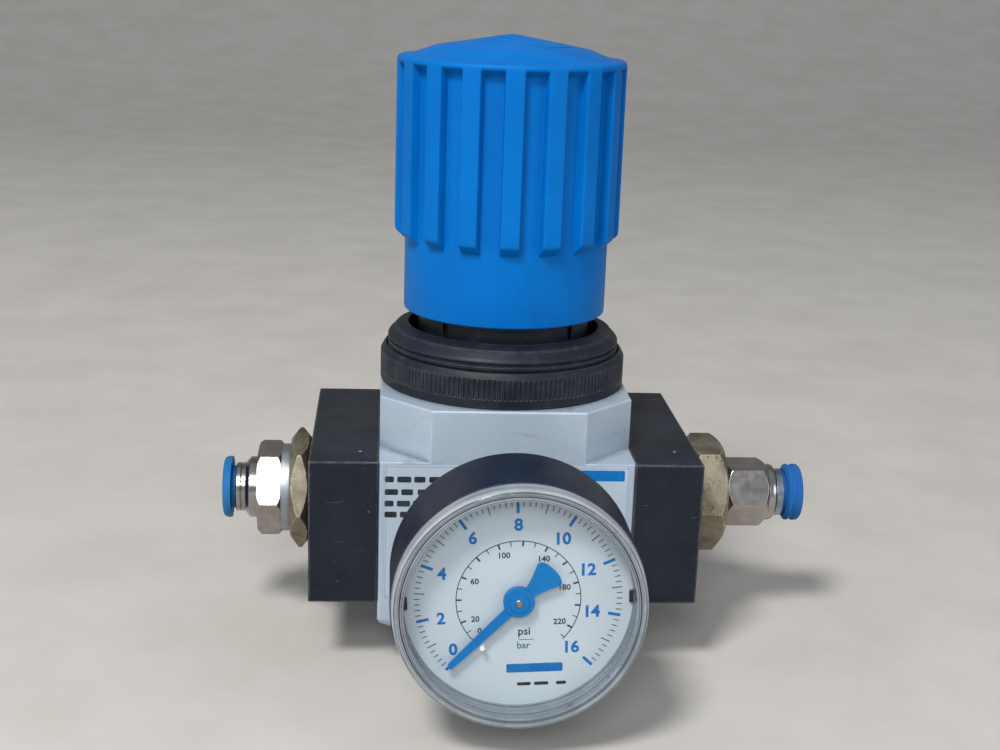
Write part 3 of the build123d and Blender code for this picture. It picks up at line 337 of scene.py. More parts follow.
def clear_rim():
    """Thick edge of the clear window: milky where light gathers in it, see-through in part, with painted
    dark refraction rings and a painted highlight ring.
    """
    f = Finish("window_rim", Specular_IOR_Level=0.6)
    base = f.mix(f.ramp(f.noise(120, 3), 0.3, 0.7), srgb(170, 180, 188), srgb(190, 198, 205))
    scratch = f.ramp(f.noise(300, 3, 0.5, (1.0, 0.4, 1.0), 0.5), 0.62, 0.72, 0.0, 0.35)
    base = f.mix(scratch, base, srgb(150, 156, 160))
    split = f.add("ShaderNodeSeparateXYZ")
    f.join(f.place, split.inputs[0])
    rise = f.math("SUBTRACT", split.outputs["Z"], PORT_Z * MM)
    radius = f.math("SQRT", f.math("ADD", f.math("MULTIPLY", split.outputs["X"], split.outputs["X"]),
                                   f.math("MULTIPLY", rise, rise)))
    wavy = f.math("ADD", radius, f.ramp(f.noise(60, 2), 0.2, 0.8, -0.00006, 0.00006))
    # painted refraction: two dark rings, on the rim and on the wall's front, where the dark case shows
    # through the clear plastic
    for ring, half in ((0.02415, 0.00011), (0.02276, 0.00010)):
        line = f.ramp(f.math("ABSOLUTE", f.math("SUBTRACT", wavy, ring)), half * 0.5, half, 0.85, 0.0)
        base = f.mix(line, base, srgb(48, 58, 72))
    # painted highlight: a bright ring near the rim's outer edge
    bright = f.ramp(f.math("ABSOLUTE", f.math("SUBTRACT", wavy, 0.02450)), 0.00008, 0.00018, 0.8, 0.0)
    base = f.mix(bright, base, srgb(232, 238, 242))
    # painted refraction: dark lines on the wall's three small ridges, where the dark case shows through
    on_wall = f.ramp(radius, 0.02243, 0.02249, 1.0, 0.0)
    for depth, half in ((-0.0650, 0.00022), (-0.0666, 0.00016), (-0.0682, 0.00024)):
        away = f.math("ABSOLUTE", f.math("SUBTRACT", split.outputs["Y"], depth))
        line = f.ramp(away, half * 0.5, half, 0.8, 0.0)
        base = f.mix(f.math("MULTIPLY", line, on_wall), base, srgb(62, 72, 86))
    f.raise_by(f.noise(500, 3), 0.00002)
    material = f.done(base, f.ramp(f.noise(260, 4), 0.35, 0.75, 0.06, 0.16))
    clear = f.add("ShaderNodeBsdfTransparent")
    f.join(f.mix(f.noise(90, 3), srgb(236, 242, 245), srgb(250, 252, 253)), clear.inputs["Color"])
    both = f.add("ShaderNodeMixShader")
    f.feed(both.inputs[0], f.ramp(f.noise(150, 3), 0.3, 0.7, 0.36, 0.48))
    f.join(clear.outputs[0], both.inputs[1])
    f.join(f.shader.outputs[0], both.inputs[2])
    f.join(both.outputs[0], f.output.inputs["Surface"])
    return material


def clear_pane():
    """Thin clear sheet: it reflects at a slant and lets the rest through straight."""
    material = bpy.data.materials.new("window_pane")
    material.use_nodes = True
    tree = material.node_tree
    tree.nodes.clear()
    output = tree.nodes.new("ShaderNodeOutputMaterial")
    mix = tree.nodes.new("ShaderNodeMixShader")
    slant = tree.nodes.new("ShaderNodeLayerWeight")
    shine = tree.nodes.new("ShaderNodeMapRange")
    for socket, number in (("From Min", 0.3), ("From Max", 1.0), ("To Min", 0.012), ("To Max", 0.4)):
        shine.inputs[socket].default_value = number
    through = tree.nodes.new("ShaderNodeBsdfTransparent")
    gloss = tree.nodes.new("ShaderNodeBsdfGlossy")
    place = tree.nodes.new("ShaderNodeTexCoord")
    smudge = tree.nodes.new("ShaderNodeTexNoise")
    smudge.inputs["Scale"].default_value = 110
    smudge.inputs["Detail"].default_value = 4
    ramp = tree.nodes.new("ShaderNodeMapRange")
    tint = tree.nodes.new("ShaderNodeMix")
    tint.data_type = "RGBA"
    tint.inputs["A"].default_value = (0.99, 0.995, 1.0, 1)
    tint.inputs["B"].default_value = (0.97, 0.98, 0.985, 1)
    for socket, number in (("From Min", 0.35), ("From Max", 0.75), ("To Min", 0.03), ("To Max", 0.16)):
        ramp.inputs[socket].default_value = number
    join = tree.links.new
    join(place.outputs["Object"], smudge.inputs["Vector"])
    join(smudge.outputs["Fac"], ramp.inputs["Value"])
    join(smudge.outputs["Fac"], tint.inputs["Factor"])
    join(tint.outputs["Result"], through.inputs["Color"])
    join(ramp.outputs[0], gloss.inputs["Roughness"])
    join(slant.outputs["Facing"], shine.inputs["Value"])
    join(shine.outputs[0], mix.inputs[0])
    join(through.outputs[0], mix.inputs[1])
    join(gloss.outputs[0], mix.inputs[2])
    join(mix.outputs[0], output.inputs["Surface"])
    return material


TURNED = 0.00001         # depth of turning marks, m
FINISHES = {
    "housing_paint": housing_paint(),
    "plate_black": plate_black(),
    "screw_steel": plain_metal("screw_steel", srgb(176, 178, 182), srgb(140, 142, 148), 0.28),
    "seal_rubber": rubber(),
    "brass": brass(),
    "nickel": plated("nickel", srgb(184, 179, 175), srgb(158, 152, 147), 0.15, TURNED),
    "washer_aluminium": plated(
        "washer_aluminium", srgb(174, 178, 188), srgb(158, 163, 172), 0.4, TURNED),
    "collar_zinc": plated("collar_zinc", srgb(168, 182, 196), srgb(136, 150, 166), 0.24, TURNED),
    "blue_plastic": blue_plastic(
        "blue_plastic", srgb(0, 97, 175), srgb(0, 107, 186), srgb(0, 62, 140), 0.4),
    "release_blue_light": blue_plastic(
        "release_blue_light", srgb(30, 98, 154), srgb(42, 110, 164), srgb(14, 68, 126), 0.4),
    "release_blue": blue_plastic(
        "release_blue", srgb(32, 88, 154), srgb(42, 100, 164), srgb(12, 60, 124), 0.34),
    "black_plastic": black_plastic(
        "black_plastic", srgb(17, 21, 30), srgb(26, 31, 42), srgb(104, 110, 122), 0.4, 0.42, 0.12),
    "case_black": black_plastic(
        "case_black", srgb(25, 31, 44), srgb(33, 39, 53), srgb(100, 106, 116), 0.3, 0.34, 0.05),
    "label_film": paper("label_film", srgb(176, 190, 204), srgb(166, 180, 195), 0.34, 0.25),
    "dial_white": paper(
        "dial_white", srgb(198, 208, 214), srgb(192, 202, 209), 0.5, specular=0.2),
    "spring_steel": plain_metal("spring_steel", srgb(160, 162, 168), srgb(120, 122, 128), 0.25),
    "diaphragm_rubber": rubber(),
    "valve_brass": plain_metal("valve_brass", srgb(214, 188, 122), srgb(186, 158, 96), 0.25),
    "plate_aluminium": plain_metal(
        "plate_aluminium", srgb(206, 208, 214), srgb(176, 178, 186), 0.3),
    "pin_white": paper("pin_white", srgb(246, 246, 246), srgb(236, 238, 240), 0.35),
    "pointer_blue": paper(
        "pointer_blue", srgb(0, 120, 188), srgb(0, 108, 176), 0.4, specular=0.12),
    "window_clear": clear_rim(),
}
PANE = clear_pane()
INK_BLUE = ink("ink_blue", srgb(8, 104, 178), srgb(24, 118, 190))
INK_BLACK = ink("ink_black", srgb(38, 42, 50), srgb(56, 60, 68))
INK_GREY = ink("ink_grey", srgb(78, 88, 102), srgb(98, 108, 120))
INK_FAINT = ink("ink_faint", srgb(128, 140, 154), srgb(140, 152, 166))
INK_STEEL_BLUE = ink("ink_steel_blue", srgb(72, 102, 138), srgb(86, 114, 148))
INK_LOGO = ink("ink_plain_bar", srgb(4, 102, 172), srgb(18, 114, 182))

SLOT_OF = {part["node"]: part["material_slot"] for part in frame["record"]["subparts"]}
for node_name, node in NODES.items():
    node.data.materials.clear()
    node.data.materials.append(FINISHES[SLOT_OF[node_name]])


# ---------------------------------------------------------------- mesh helpers
def piece(name, vertices, faces, body, material, smooth=35.0):
    """Mesh object in the row frame that rides on a body."""
    mesh = bpy.data.meshes.new(name)
    mesh.from_pydata([tuple(v) for v in vertices], [], faces)
    mesh.validate()
    mesh.materials.append(material)
    obj = bpy.data.objects.new(name, mesh)
    bpy.context.scene.collection.objects.link(obj)
    bm = bmesh.new()
    bm.from_mesh(mesh)
    bmesh.ops.recalc_face_normals(bm, faces=bm.faces)
    for face in bm.faces:
        face.smooth = True
    for edge in bm.edges:
        edge.smooth = len(edge.link_faces) == 2 and edge.calc_face_angle(0) < radians(smooth)
    bm.to_mesh(mesh)
    bm.free()
    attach(obj, body)
    return obj


def lathe(profile, count, turn):
    """Closed surface from a closed profile of (along, radius) points.

    turn(along, radius, angle) places a point.
    """
    vertices, faces, rings = [], [], []
    for along, radius in profile:
        if radius < 1e-9:
            rings.append([len(vertices)] * count)
            vertices.append(turn(along, 0.0, 0.0))
        else:
            rings.append(list(range(len(vertices), len(vertices) + count)))
            vertices += [turn(along, radius, 2 * pi * k / count) for k in range(count)]
    for a, b in zip(rings, rings[1:] + rings[:1]):
        for k in range(count):
            corners = [a[k], a[(k + 1) % count], b[(k + 1) % count], b[k]]
            face = [c for i, c in enumerate(corners) if c != corners[i - 1]]
            if len(set(face)) >= 3:
                faces.append(face)
    return vertices, faces


GAUGE_ROLL = radians(2.4)


def on_gauge(u, w, depth):
    """Point in metres from gauge coordinates in mm: u right, w up, depth towards the front."""
    return Vector(((u * cos(GAUGE_ROLL) - w * sin(GAUGE_ROLL)) * MM, -depth * MM,
                   (PORT_Z + u * sin(GAUGE_ROLL) + w * cos(GAUGE_ROLL)) * MM))


DIAL_Z = 64.0
INK_LOW, INK_HIGH = DIAL_Z - 0.02, DIAL_Z + 0.03


class Print:
    """Thin raised print collected into one mesh."""

    def __init__(self):
        self.vertices, self.faces = [], []

    def prism(self, outline, place, low, high):
        """Outline points (x, y) between two levels; place(x, y, level) gives the point."""
        first, n = len(self.vertices), len(outline)
        self.vertices += [place(x, y, low) for x, y in outline]
        self.vertices += [place(x, y, high) for x, y in outline]
        self.faces += [[first + i for i in range(n)][::-1], [first + n + i for i in range(n)]]
        self.faces += [[first + i, first + (i + 1) % n, first + n + (i + 1) % n, first + n + i]
                       for i in range(n)]

    def tick(self, angle, inner, outer, width):
        """Dial tick: angle in degrees clockwise from the top."""
        a = radians(angle)
        along, across = (sin(a), cos(a)), (cos(a), -sin(a))
        corners = [(inner, -width / 2), (outer, -width / 2), (outer, width / 2), (inner, width / 2)]
        self.prism([(r * along[0] + t * across[0], r * along[1] + t * across[1]) for r, t in corners],
                   on_gauge, INK_LOW, INK_HIGH)

    def arc(self, radius, width, start, end, steps=90):
        """Ring segment on the dial."""
        angles = [radians(start + (end - start) * i / steps) for i in range(steps + 1)]
        near, far = radius - width / 2, radius + width / 2
        for a, b in zip(angles, angles[1:]):
            self.prism([(r * sin(t), r * cos(t)) for r, t in ((near, a), (far, a), (far, b), (near, b))],
                       on_gauge, INK_LOW, INK_HIGH)

    def bar(self, x0, y0, x1, y1, place, low, high, corner=0.0):
        """Rectangle, with rounded ends if a corner radius is given."""
        if not corner:
            outline = [(x0, y0), (x1, y0), (x1, y1), (x0, y1)]
        else:
            outline = []
            for cx, cy, start in ((x1 - corner, y0 + corner, -90), (x1 - corner, y1 - corner, 0),
                                  (x0 + corner, y1 - corner, 90), (x0 + corner, y0 + corner, 180)):
                turns = [radians(start + 22.5 * i) for i in range(5)]
                outline += [(cx + corner * cos(t), cy + corner * sin(t)) for t in turns]
        self.prism(outline, place, low, high)

    def text(self, words, u, w, height, weight):
        """Figures or unit names centred on a point of the dial."""
        curve = bpy.data.curves.new("words", "FONT")
        curve.body = words
        curve.size = height / 0.7
        curve.offset = weight
        curve.extrude = 0.025
        curve.resolution_u = 3
        curve.align_x = "CENTER"
        holder = bpy.data.objects.new("words", curve)
        bpy.context.scene.collection.objects.link(holder)
        mesh = bpy.data.meshes.new_from_object(holder)
        lowest = min(v.co.y for v in mesh.vertices)
        tallest = max(v.co.y for v in mesh.vertices)
        left, right = min(v.co.x for v in mesh.vertices), max(v.co.x for v in mesh.vertices)
        first = len(self.vertices)
        for v in mesh.vertices:
            x, y = v.co.x - (left + right) / 2, v.co.y - (lowest + tallest) / 2
            self.vertices.append(on_gauge(u + x, w + y, DIAL_Z + 0.005 + v.co.z))
        self.faces += [[first + i for i in p.vertices] for p in mesh.polygons]
        bpy.data.objects.remove(holder)
        bpy.data.curves.remove(curve)
        bpy.data.meshes.remove(mesh)

    def build(self, name, material, slot):
        return piece(name, self.vertices, self.faces, "regulator", material, 10)


# ---------------------------------------------------------------- dial print
BAR_STEP = 270 / 16
PSI_STEP = 270 / 232.06


def dial_angle(bar):
    return -135 + bar * BAR_STEP


def around(radius, angle):
    a = radians(angle)
    return radius * sin(a), radius * cos(a)


strong, fine, figures = Print(), Print(), Print()
for tenth in range(0, 81):
    value = tenth / 5
    if tenth % 10 == 0:
        strong.tick(dial_angle(value), 17.85, 20.3, 0.6)
    elif tenth % 5 == 0:
        fine.tick(dial_angle(value), 18.3, 20.3, 0.22)
    else:
        fine.tick(dial_angle(value), 19.2, 20.3, 0.2)
for value, reach, angle in ((0, 16.3, -127.9), (2, 15.5, -102.6), (4, 15.95, -68.2),
                            (6, 15.7, -33.7), (8, 15.5, 0.4), (10, 15.2, 35.5),
                            (12, 14.9, 66.9), (14, 14.8, 101.4), (16, 14.7, 134.5)):
    figures.text(str(value), *around(reach, angle), 2.35, 0.11)
strong.build("dial_bar_ticks", INK_BLUE, "pointer_blue")
fine.build("dial_fine_ticks", INK_GREY, "case_black")
figures.build("dial_bar_figures", INK_BLUE, "pointer_blue")

inner = Print()
inner.arc(12.15, 0.17, -135, 135)
for psi in range(0, 231, 10):
    angle = -135 + psi * PSI_STEP
    if psi % 20 == 0:
        inner.tick(angle, 11.05, 12.15, 0.34)
    else:
        inner.tick(angle, 11.15, 12.15, 0.17)
for psi, reach, angle in ((0, 9.9, -129.3), (20, 9.25, -114.0), (60, 9.4, -64.2),
                          (100, 9.65, -15.9), (140, 9.75, 31.3), (180, 9.35, 75.7),
                          (220, 9.35, 121.3)):
    inner.text(str(psi), *around(reach, angle), 1.15, 0.035)
inner.text("psi", 1.05, -6.95, 1.6, 0.03)
inner.bar(-0.1, -8.5, 2.85, -8.4, on_gauge, INK_LOW, INK_HIGH)
inner.build("dial_psi_scale", INK_BLACK, "case_black")
unit = Print()
unit.text("bar", 0.95, -9.65, 1.4, 0.03)
unit.build("dial_bar_unit", INK_STEEL_BLUE, "pointer_blue")
plain = Print()
plain.bar(-2.5, -15.45, 8.6, -13.6, on_gauge, INK_LOW, INK_HIGH, 0.3)
plain.build("dial_plain_bar", INK_LOGO, "pointer_blue")
dashes = Print()
for x0, x1 in ((-0.4, 2.3), (2.95, 5.8), (7.3, 9.3)):
    dashes.bar(x0, -18.3, x1, -17.6, on_gauge, INK_LOW, INK_HIGH, 0.3)
dashes.build("dial_dashes", INK_BLACK, "case_black")


# ---------------------------------------------------------------- label print
LABEL_FRONT = 28.65


def on_label(x, z, level):
    return Vector((x * MM, -(LABEL_FRONT + level) * MM, z * MM))


rows = Print()
for z, runs in ((44.05, ((-26.2, -24.3), (-23.6, -20.6), (-20.0, -17.6), (-16.8, -14.4))),
                (41.2, ((-26.2, -23.4), (-22.7, -20.2), (-19.2, -16.8))),
                (38.6, ((-26.2, -24.3), (-23.6, -20.8), (-20.2, -18.0))),
                (36.1, ((-26.2, -23.6), (-22.9, -20.6), (-20.0, -18.4)))):
    for x0, x1 in runs:
        rows.bar(x0, z - 0.65, x1, z + 0.65, on_label, -0.02, 0.03, 0.3)
rows.bar(21.9, 38.6, 22.15, 40.3, on_label, -0.02, 0.03)
rows.build("label_text_bars", INK_BLACK, "case_black")
flag = Print()
flag.bar(14.6, 44.1, 25.2, 46.5, on_label, -0.02, 0.03, 0.4)
flag.build("label_plain_bar", INK_LOGO, "pointer_blue")
border = Print()
for x0, z0, x1, z1 in ((-25.9, 46.85, 25.9, 46.95), (-25.9, 17.05, 25.9, 17.15),
                       (-25.95, 17.1, -25.85, 46.9), (25.85, 17.1, 25.95, 46.9)):
    border.bar(x0, z0, x1, z1, on_label, -0.02, 0.015)
border.build("label_border", INK_FAINT, "label_film")


# ---------------------------------------------------------------- knob
KNOB_BOTTOM, SLEEVE_R, RIB_R, RIB_TOP, APEX = 75.7, 22.57, 24.95, 131.1, 136.0
RIB_COUNT, RIB_HALF, RIB_FOOT, RIB_PHASE = 17, 2.05, 93.4, -92.4
CAP_Z = RIB_TOP - 1.6
KNOB_TOP_RISE = 1.64     # top ring of the ribbed shell above CAP_Z
CEILING = 129.0          # inside of the knob's top


def rounded_rib(height):
    """Half of a rib's section from its middle outwards: (offset across, height above the sleeve)."""
    top_r = min(0.3, height * 0.45)
    foot_r = min(0.16, height * 0.3)
    points = [(0.0, height), (RIB_HALF - top_r - 0.35, height)]
    for i in range(5):
        a = radians(90 - 22.5 * i)
        points.append((RIB_HALF - top_r + top_r * cos(a), height - top_r + top_r * sin(a)))
    points.append((RIB_HALF + 0.03, (height - top_r + foot_r) / 2))
    for i in range(5):
        a = radians(180 + 22.5 * i)
        points.append((RIB_HALF + 0.06 + foot_r + foot_r * cos(a), foot_r + foot_r * sin(a)))
    return points


def knob_row(z, base_r, height):
    """One level of the knob's outside, as points all round."""
    height = max(height, 0.0)
    half = rounded_rib(height)
    row = []
    pitch = 2 * pi / RIB_COUNT
    for k in range(RIB_COUNT):
        middle = radians(RIB_PHASE) + k * pitch
        section = [(-a, h) for a, h in half[:0:-1]] + half
        for across, rise in section:
            r = base_r + rise
            row.append((middle + atan2(across, r), r))
        edge = atan2(half[-1][0], base_r)
        gap = pitch - 2 * edge
        row += [(middle + edge + gap * (i + 1) / 7, base_r) for i in range(6)]
    return [(r * cos(t) * MM, r * sin(t) * MM, z * MM) for t, r in row]


def knob_levels():
    """(z, sleeve radius, rib height) from the lower rim up to the cone."""
    full = RIB_R - SLEEVE_R - 0.05
    levels = [(KNOB_BOTTOM, SLEEVE_R - 0.5, 0), (KNOB_BOTTOM + 0.05, SLEEVE_R - 0.25, 0),
              (KNOB_BOTTOM + 0.2, SLEEVE_R - 0.06, 0), (KNOB_BOTTOM + 0.45, SLEEVE_R, 0),
              (84, SLEEVE_R + 0.02, 0), (RIB_FOOT - 2.25, SLEEVE_R + 0.03, 0.0),
              (RIB_FOOT - 2.05, SLEEVE_R + 0.03, 0.0)]
    for share, lift in ((0.02, -1.98), (0.10, -1.85), (0.5, -1.0), (0.84, -0.28),
                        (0.93, -0.05), (0.98, 0.3), (1.0, 0.9)):
        levels.append((RIB_FOOT + lift, SLEEVE_R + 0.03, full * share))
    for z in (98, 104, 110, 116, 122, CAP_Z - 2.2, CAP_Z - 1.6):
        draft = 0.03 * (z - 93) / 36
        levels.append((z, SLEEVE_R + 0.05 + draft, RIB_R - SLEEVE_R - 0.06 - draft))
    base = SLEEVE_R + 0.08
    for share, z in ((0.03, CAP_Z - 1.25), (0.12, CAP_Z - 0.9), (0.4, CAP_Z - 0.35),
                     (0.72, CAP_Z + 0.05), (0.92, CAP_Z + 0.35), (1.0, CAP_Z + 0.7)):
        level_base = base + (RIB_R - 0.02 - base) * share
        levels.append((z, level_base, RIB_R - level_base))
    for drop, z in ((0.05, CAP_Z + 1.0), (0.16, CAP_Z + 1.25), (0.36, CAP_Z + 1.48),
                    (0.6, CAP_Z + 1.6), (1.4, CAP_Z + KNOB_TOP_RISE)):
        levels.append((z, RIB_R - drop, 0))
    return levels


def make_knob():
    vertices, faces, rows = [], [], []
    for level in knob_levels():
        row = knob_row(*level)
        rows.append(list(range(len(vertices), len(vertices) + len(row))))
        vertices += row
    count = len(rows[0])
    inner_levels = ((20.0, KNOB_BOTTOM), (20.0, CEILING - 0.4), (19.4, CEILING), (6.0, CEILING))
    inner_rows = []
    for radius, z in inner_levels:
        inner_rows.append(list(range(len(vertices), len(vertices) + count)))
        vertices += [(radius * cos(t) * MM, radius * sin(t) * MM, z * MM)
                     for t in (atan2(vertices[i][1], vertices[i][0]) for i in rows[0])]
    top, ceiling = len(vertices), len(vertices) + 1
    vertices += [(0, 0, (CAP_Z + KNOB_TOP_RISE) * MM), (0, 0, CEILING * MM)]
    loops = inner_rows[::-1] + rows
    for a, b in zip(loops, loops[1:]):
        faces += [[a[k], a[(k + 1) % count], b[(k + 1) % count], b[k]] for k in range(count)]
    faces += [[rows[-1][k], rows[-1][(k + 1) % count], top] for k in range(count)]
    faces += [[inner_rows[-1][(k + 1) % count], inner_rows[-1][k], ceiling] for k in range(count)]
    knob = piece("knob_cap", vertices, faces, "knob", FINISHES["blue_plastic"], 40)
    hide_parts("knob")


make_knob()


def upright(along, radius, angle):
    return Vector((radius * cos(angle) * MM, radius * sin(angle) * MM, along * MM))


CROWN = [(RIB_R - 0.75, CAP_Z + 1.6), (22.0, RIB_TOP + 0.28), (21.4, RIB_TOP + 0.44), (17.3, RIB_TOP + 1.94),
         (16.5, RIB_TOP + 2.16), (2.0, APEX - 0.2), (1.0, APEX - 0.05)]
crown_profile = [(RIB_TOP - 0.3, 0), (RIB_TOP - 0.3, RIB_R - 0.9)]
crown_profile += [(z, r) for r, z in CROWN] + [(APEX - 0.01, 0)]
vertices, faces = lathe(crown_profile, 180, upright)
piece("knob_crown", vertices, faces, "knob", FINISHES["blue_plastic"], 20)


def on_crown(radius, angle, level):
    """Point on the crown at a radius and a polar angle, raised by a level."""
    outline = CROWN + [(0.0, APEX)]
    for (r0, z0), (r1, z1) in zip(outline, outline[1:]):
        if r1 <= radius <= r0:
            height = z0 + (z1 - z0) * (r0 - radius) / (r0 - r1)
            return upright(height + level, radius, radians(angle))


MARK_LOW, MARK_HIGH = -0.06, 0.12
turning_marks = Print()
for inner_r, outer_r, first, last in ((12.2, 12.9, -66, -28), (9.2, 9.9, -74, -60),
                                      (3.4, 4.0, -150, -96), (6.4, 7.0, -128, -104)):
    for step in range(12):
        a0, a1 = first + (last - first) * step / 12, first + (last - first) * (step + 1) / 12
        turning_marks.prism([(inner_r, a0), (outer_r, a0), (outer_r, a1), (inner_r, a1)],
                            on_crown, MARK_LOW, MARK_HIGH)
for arrow_head in ([(11.2, -28), (13.9, -28), (12.55, -21)],
                   [(5.8, -128), (7.6, -128), (6.7, -141)]):
    turning_marks.prism(arrow_head, on_crown, MARK_LOW, MARK_HIGH)
piece("knob_turning_marks", turning_marks.vertices, turning_marks.faces, "knob",
      FINISHES["blue_plastic"], 30)


def small_ring(name, centre, normal, radius, width, height, body, material):
    """Low raised ring on a surface, such as a mould mark."""
    normal = normal.normalized()
    side = normal.cross(Vector((0, 0, 1))).normalized()
    up = side.cross(normal)

    def turn(along, r, angle):
        return centre + normal * (along * MM) + (side * cos(angle) + up * sin(angle)) * (r * MM)
    section = [(-0.1, radius - width), (height, radius - width * 0.8),
               (height, radius + width * 0.8), (-0.1, radius + width)]
    vertices, faces = lathe(section, 32, turn)
    return piece(name, vertices, faces, body, material, 50)


mark_angle = radians(-126.5)
mark_out = Vector((cos(mark_angle), sin(mark_angle), 0))
small_ring("knob_mould_mark", mark_out * (22.6 * MM) + Vector((0, 0, 124.6 * MM)), mark_out,
           0.95, 0.16, 0.1, "knob", FINISHES["blue_plastic"])


# ---------------------------------------------------------------- gauge window
def gauge_turn(along, radius, angle):
    return Vector((radius * cos(angle) * MM, -along * MM, (PORT_Z + radius * sin(angle)) * MM))


PANE_FRONT = 70.1
PANE_BACK, PANE_R = PANE_FRONT - 1.4, 22.28
vertices, faces = lathe([(PANE_BACK, 0), (PANE_BACK, PANE_R), (PANE_FRONT, PANE_R), (PANE_FRONT, 0)],
                        160, gauge_turn)
pane = piece("gauge_pane", vertices, faces, "regulator", PANE, 30)
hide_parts("gauge_window")
rim_profile = [(66.9, 23.25), (66.9, 24.82), (69.7, 24.6), (70.1, 24.4), (70.33, 24.1),
               (70.38, 23.85), (70.3, 23.62), (70.05, 23.55), (70.05, 23.3)]
vertices, faces = lathe(rim_profile, 200, gauge_turn)
piece("gauge_rim", vertices, faces, "regulator", FINISHES["window_clear"], 30)
wall_profile = [(64.06, 22.34), (64.9, 22.34), (65.0, 22.42), (65.15, 22.34), (66.4, 22.34),
                (66.5, 22.42), (66.65, 22.34), (68.0, 22.34), (68.1, 22.42), (68.25, 22.34),
                (70.1, 22.34), (70.3, 22.5), (70.36, 22.75), (70.3, 23.0), (70.05, 23.1),
                (66.95, 23.1), (64.06, 23.1)]
vertices, faces = lathe(wall_profile, 200, gauge_turn)
piece("gauge_window_wall", vertices, faces, "regulator", FINISHES["window_clear"], 30)
# painted shade: a black ring filled into the gap between the window wall and the rim, standing in for the
# dark case seen through it
rim_shade_ring_profile = [(66.95, 23.08), (69.9, 23.08), (69.9, 23.34), (66.95, 23.34)]
vertices, faces = lathe(rim_shade_ring_profile, 200, gauge_turn)
piece("gauge_rim_shade_ring", vertices, faces, "regulator", FINISHES["case_black"], 30)
lugs = Print()
for u, left_half, right_half in ((-22.0, 1.35, 1.1), (22.0, 1.1, 1.35)):
    lugs.prism([(u - 0.42, -left_half), (u + 0.42, -right_half),
                (u + 0.42, right_half), (u - 0.42, left_half)], on_gauge, 63.6, 64.5)
lugs.build("gauge_clip_lugs", FINISHES["case_black"], "case_black")


# ---------------------------------------------------------------- springs and diaphragm
def coil(name, node, radius, wire, low, high, turns, slot):
    """Round-wire spring with closed ends."""
    steps, around_count = int(turns * 40), 10
    vertices, faces = [], []
    for i in range(steps + 1):
        share = i / steps
        t = share * turns * 2 * pi
        lead = min(share * turns, 1.0, (1 - share) * turns)
        z = low + wire + (high - low - 2 * wire) * share
        z += (0.5 - share) * (1 - lead) * 0.6 * wire
        for k in range(around_count):
            a = 2 * pi * k / around_count
            r = radius + wire * cos(a)
            vertices.append((r * cos(t) * MM, r * sin(t) * MM, (z + wire * sin(a)) * MM))
    for i in range(steps):
        for k in range(around_count):
            a, b = i * around_count, (i + 1) * around_count
            faces.append([a + k, a + (k + 1) % around_count, b + (k + 1) % around_count, b + k])
    faces.append(list(range(around_count))[::-1])
    faces.append([steps * around_count + k for k in range(around_count)])
    obj = piece(name, vertices, faces, "regulator", FINISHES[slot], 50)
    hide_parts(node)
    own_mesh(obj)


coil("main_spring_coil", "main_spring", 13.0, 1.55, 60.25, 91.95, 6.5,
     "spring_steel")
coil("valve_spring_coil", "valve_spring", 6.4, 0.4, 16.02, 28.6, 7.0,
     "spring_steel")

sheet_profile = [(57.02, 4.02), (57.02, 14.6), (56.8, 15.6), (56.0, 17.0), (54.8, 18.6), (54.2, 19.4),
                 (54.02, 20.4), (54.02, 24.3), (55.16, 24.3), (55.16, 20.6), (55.4, 19.7), (56.0, 18.9),
                 (57.1, 17.4), (57.9, 16.0), (58.16, 15.0), (58.16, 4.02)]
vertices, faces = lathe(sheet_profile, 96, upright)
sheet = piece("diaphragm_sheet", vertices, faces, "regulator", FINISHES["diaphragm_rubber"],
              50)
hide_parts("diaphragm")
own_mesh(sheet)


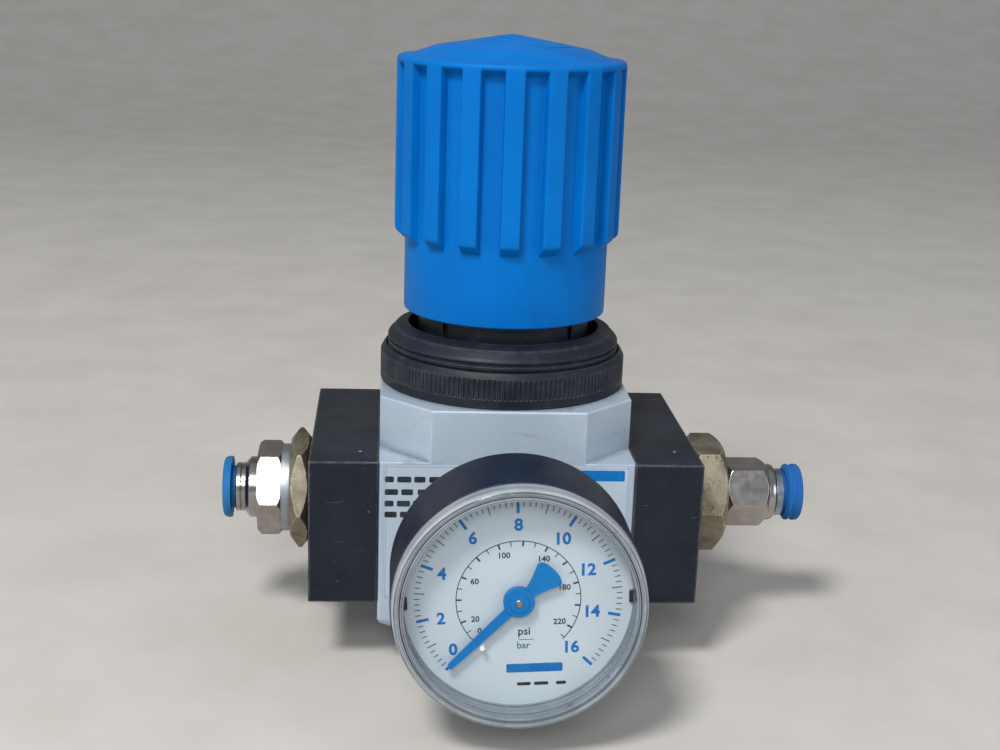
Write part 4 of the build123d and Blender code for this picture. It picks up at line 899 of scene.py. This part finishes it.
# ---------------------------------------------------------------- floor, backdrop and light
def stage_material(name, light, dark, rough):
    f = Finish(name, Specular_IOR_Level=0.2)
    base = f.mix(f.ramp(f.noise(26, 4, 0.6), 0.3, 0.7), dark, light)
    f.raise_by(f.noise(240, 4), 0.00004)
    return f.done(base, f.ramp(f.noise(40, 3), 0.3, 0.7, rough, rough + 0.08))


def stage_sweep(name, half_width, near, bend, radius, height, level, material):
    """Floor that turns up into a wall behind the part."""
    outline = [(near, level), (bend, level)]
    for i in range(1, 13):
        t = radians(7.5 * i)
        outline.append((bend + radius * sin(t), level + radius * (1 - cos(t))))
    outline.append((bend + radius, height))
    vertices = [(side * half_width, y, z) for y, z in outline for side in (-1, 1)]
    mesh = bpy.data.meshes.new(name)
    faces = [[2 * i, 2 * i + 1, 2 * i + 3, 2 * i + 2] for i in range(len(outline) - 1)]
    mesh.from_pydata(vertices, [], faces)
    mesh.materials.append(material)
    for polygon in mesh.polygons:
        polygon.use_smooth = True
    obj = bpy.data.objects.new(name, mesh)
    bpy.context.scene.collection.objects.link(obj)


FLOOR = stage_material("floor_card", srgb(196, 192, 187), srgb(188, 184, 178), 0.8)
stage_sweep("floor", 4.0, -3.0, 1.0, 1.2, 4.0, -0.0002, FLOOR)


def area(name, place, target, size, power, colour):
    data = bpy.data.lights.new(name, "AREA")
    data.shape = "DISK"
    data.size = size
    data.energy = power
    data.color = colour
    obj = bpy.data.objects.new(name, data)
    bpy.context.scene.collection.objects.link(obj)
    obj.location = place
    obj.rotation_euler = (Vector(target) - Vector(place)).to_track_quat("-Z", "Y").to_euler()


area("key", (-0.42, -0.73, 1.10), (0, 0, 0.06), 0.31, 14.8, (1.0, 0.985, 0.96))
area("window", (-0.9, -0.5, 0.35), (0, 0, 0.06), 0.6, 1.2, (0.93, 0.97, 1.0))
area("fill", (0.9, -0.7, 0.4), (0, 0, 0.06), 0.6, 2.3, (0.95, 0.975, 1.0))
area("front", (-0.13, -0.95, 0.66), (0, 0, 0.05), 0.34, 3.0, (0.97, 0.985, 1.0))

world = bpy.data.worlds.new("soft_room")
bpy.context.scene.world = world
world.use_nodes = True
world.node_tree.nodes["Background"].inputs["Color"].default_value = (0.80, 0.85, 0.92, 1)
world.node_tree.nodes["Background"].inputs["Strength"].default_value = 0.44
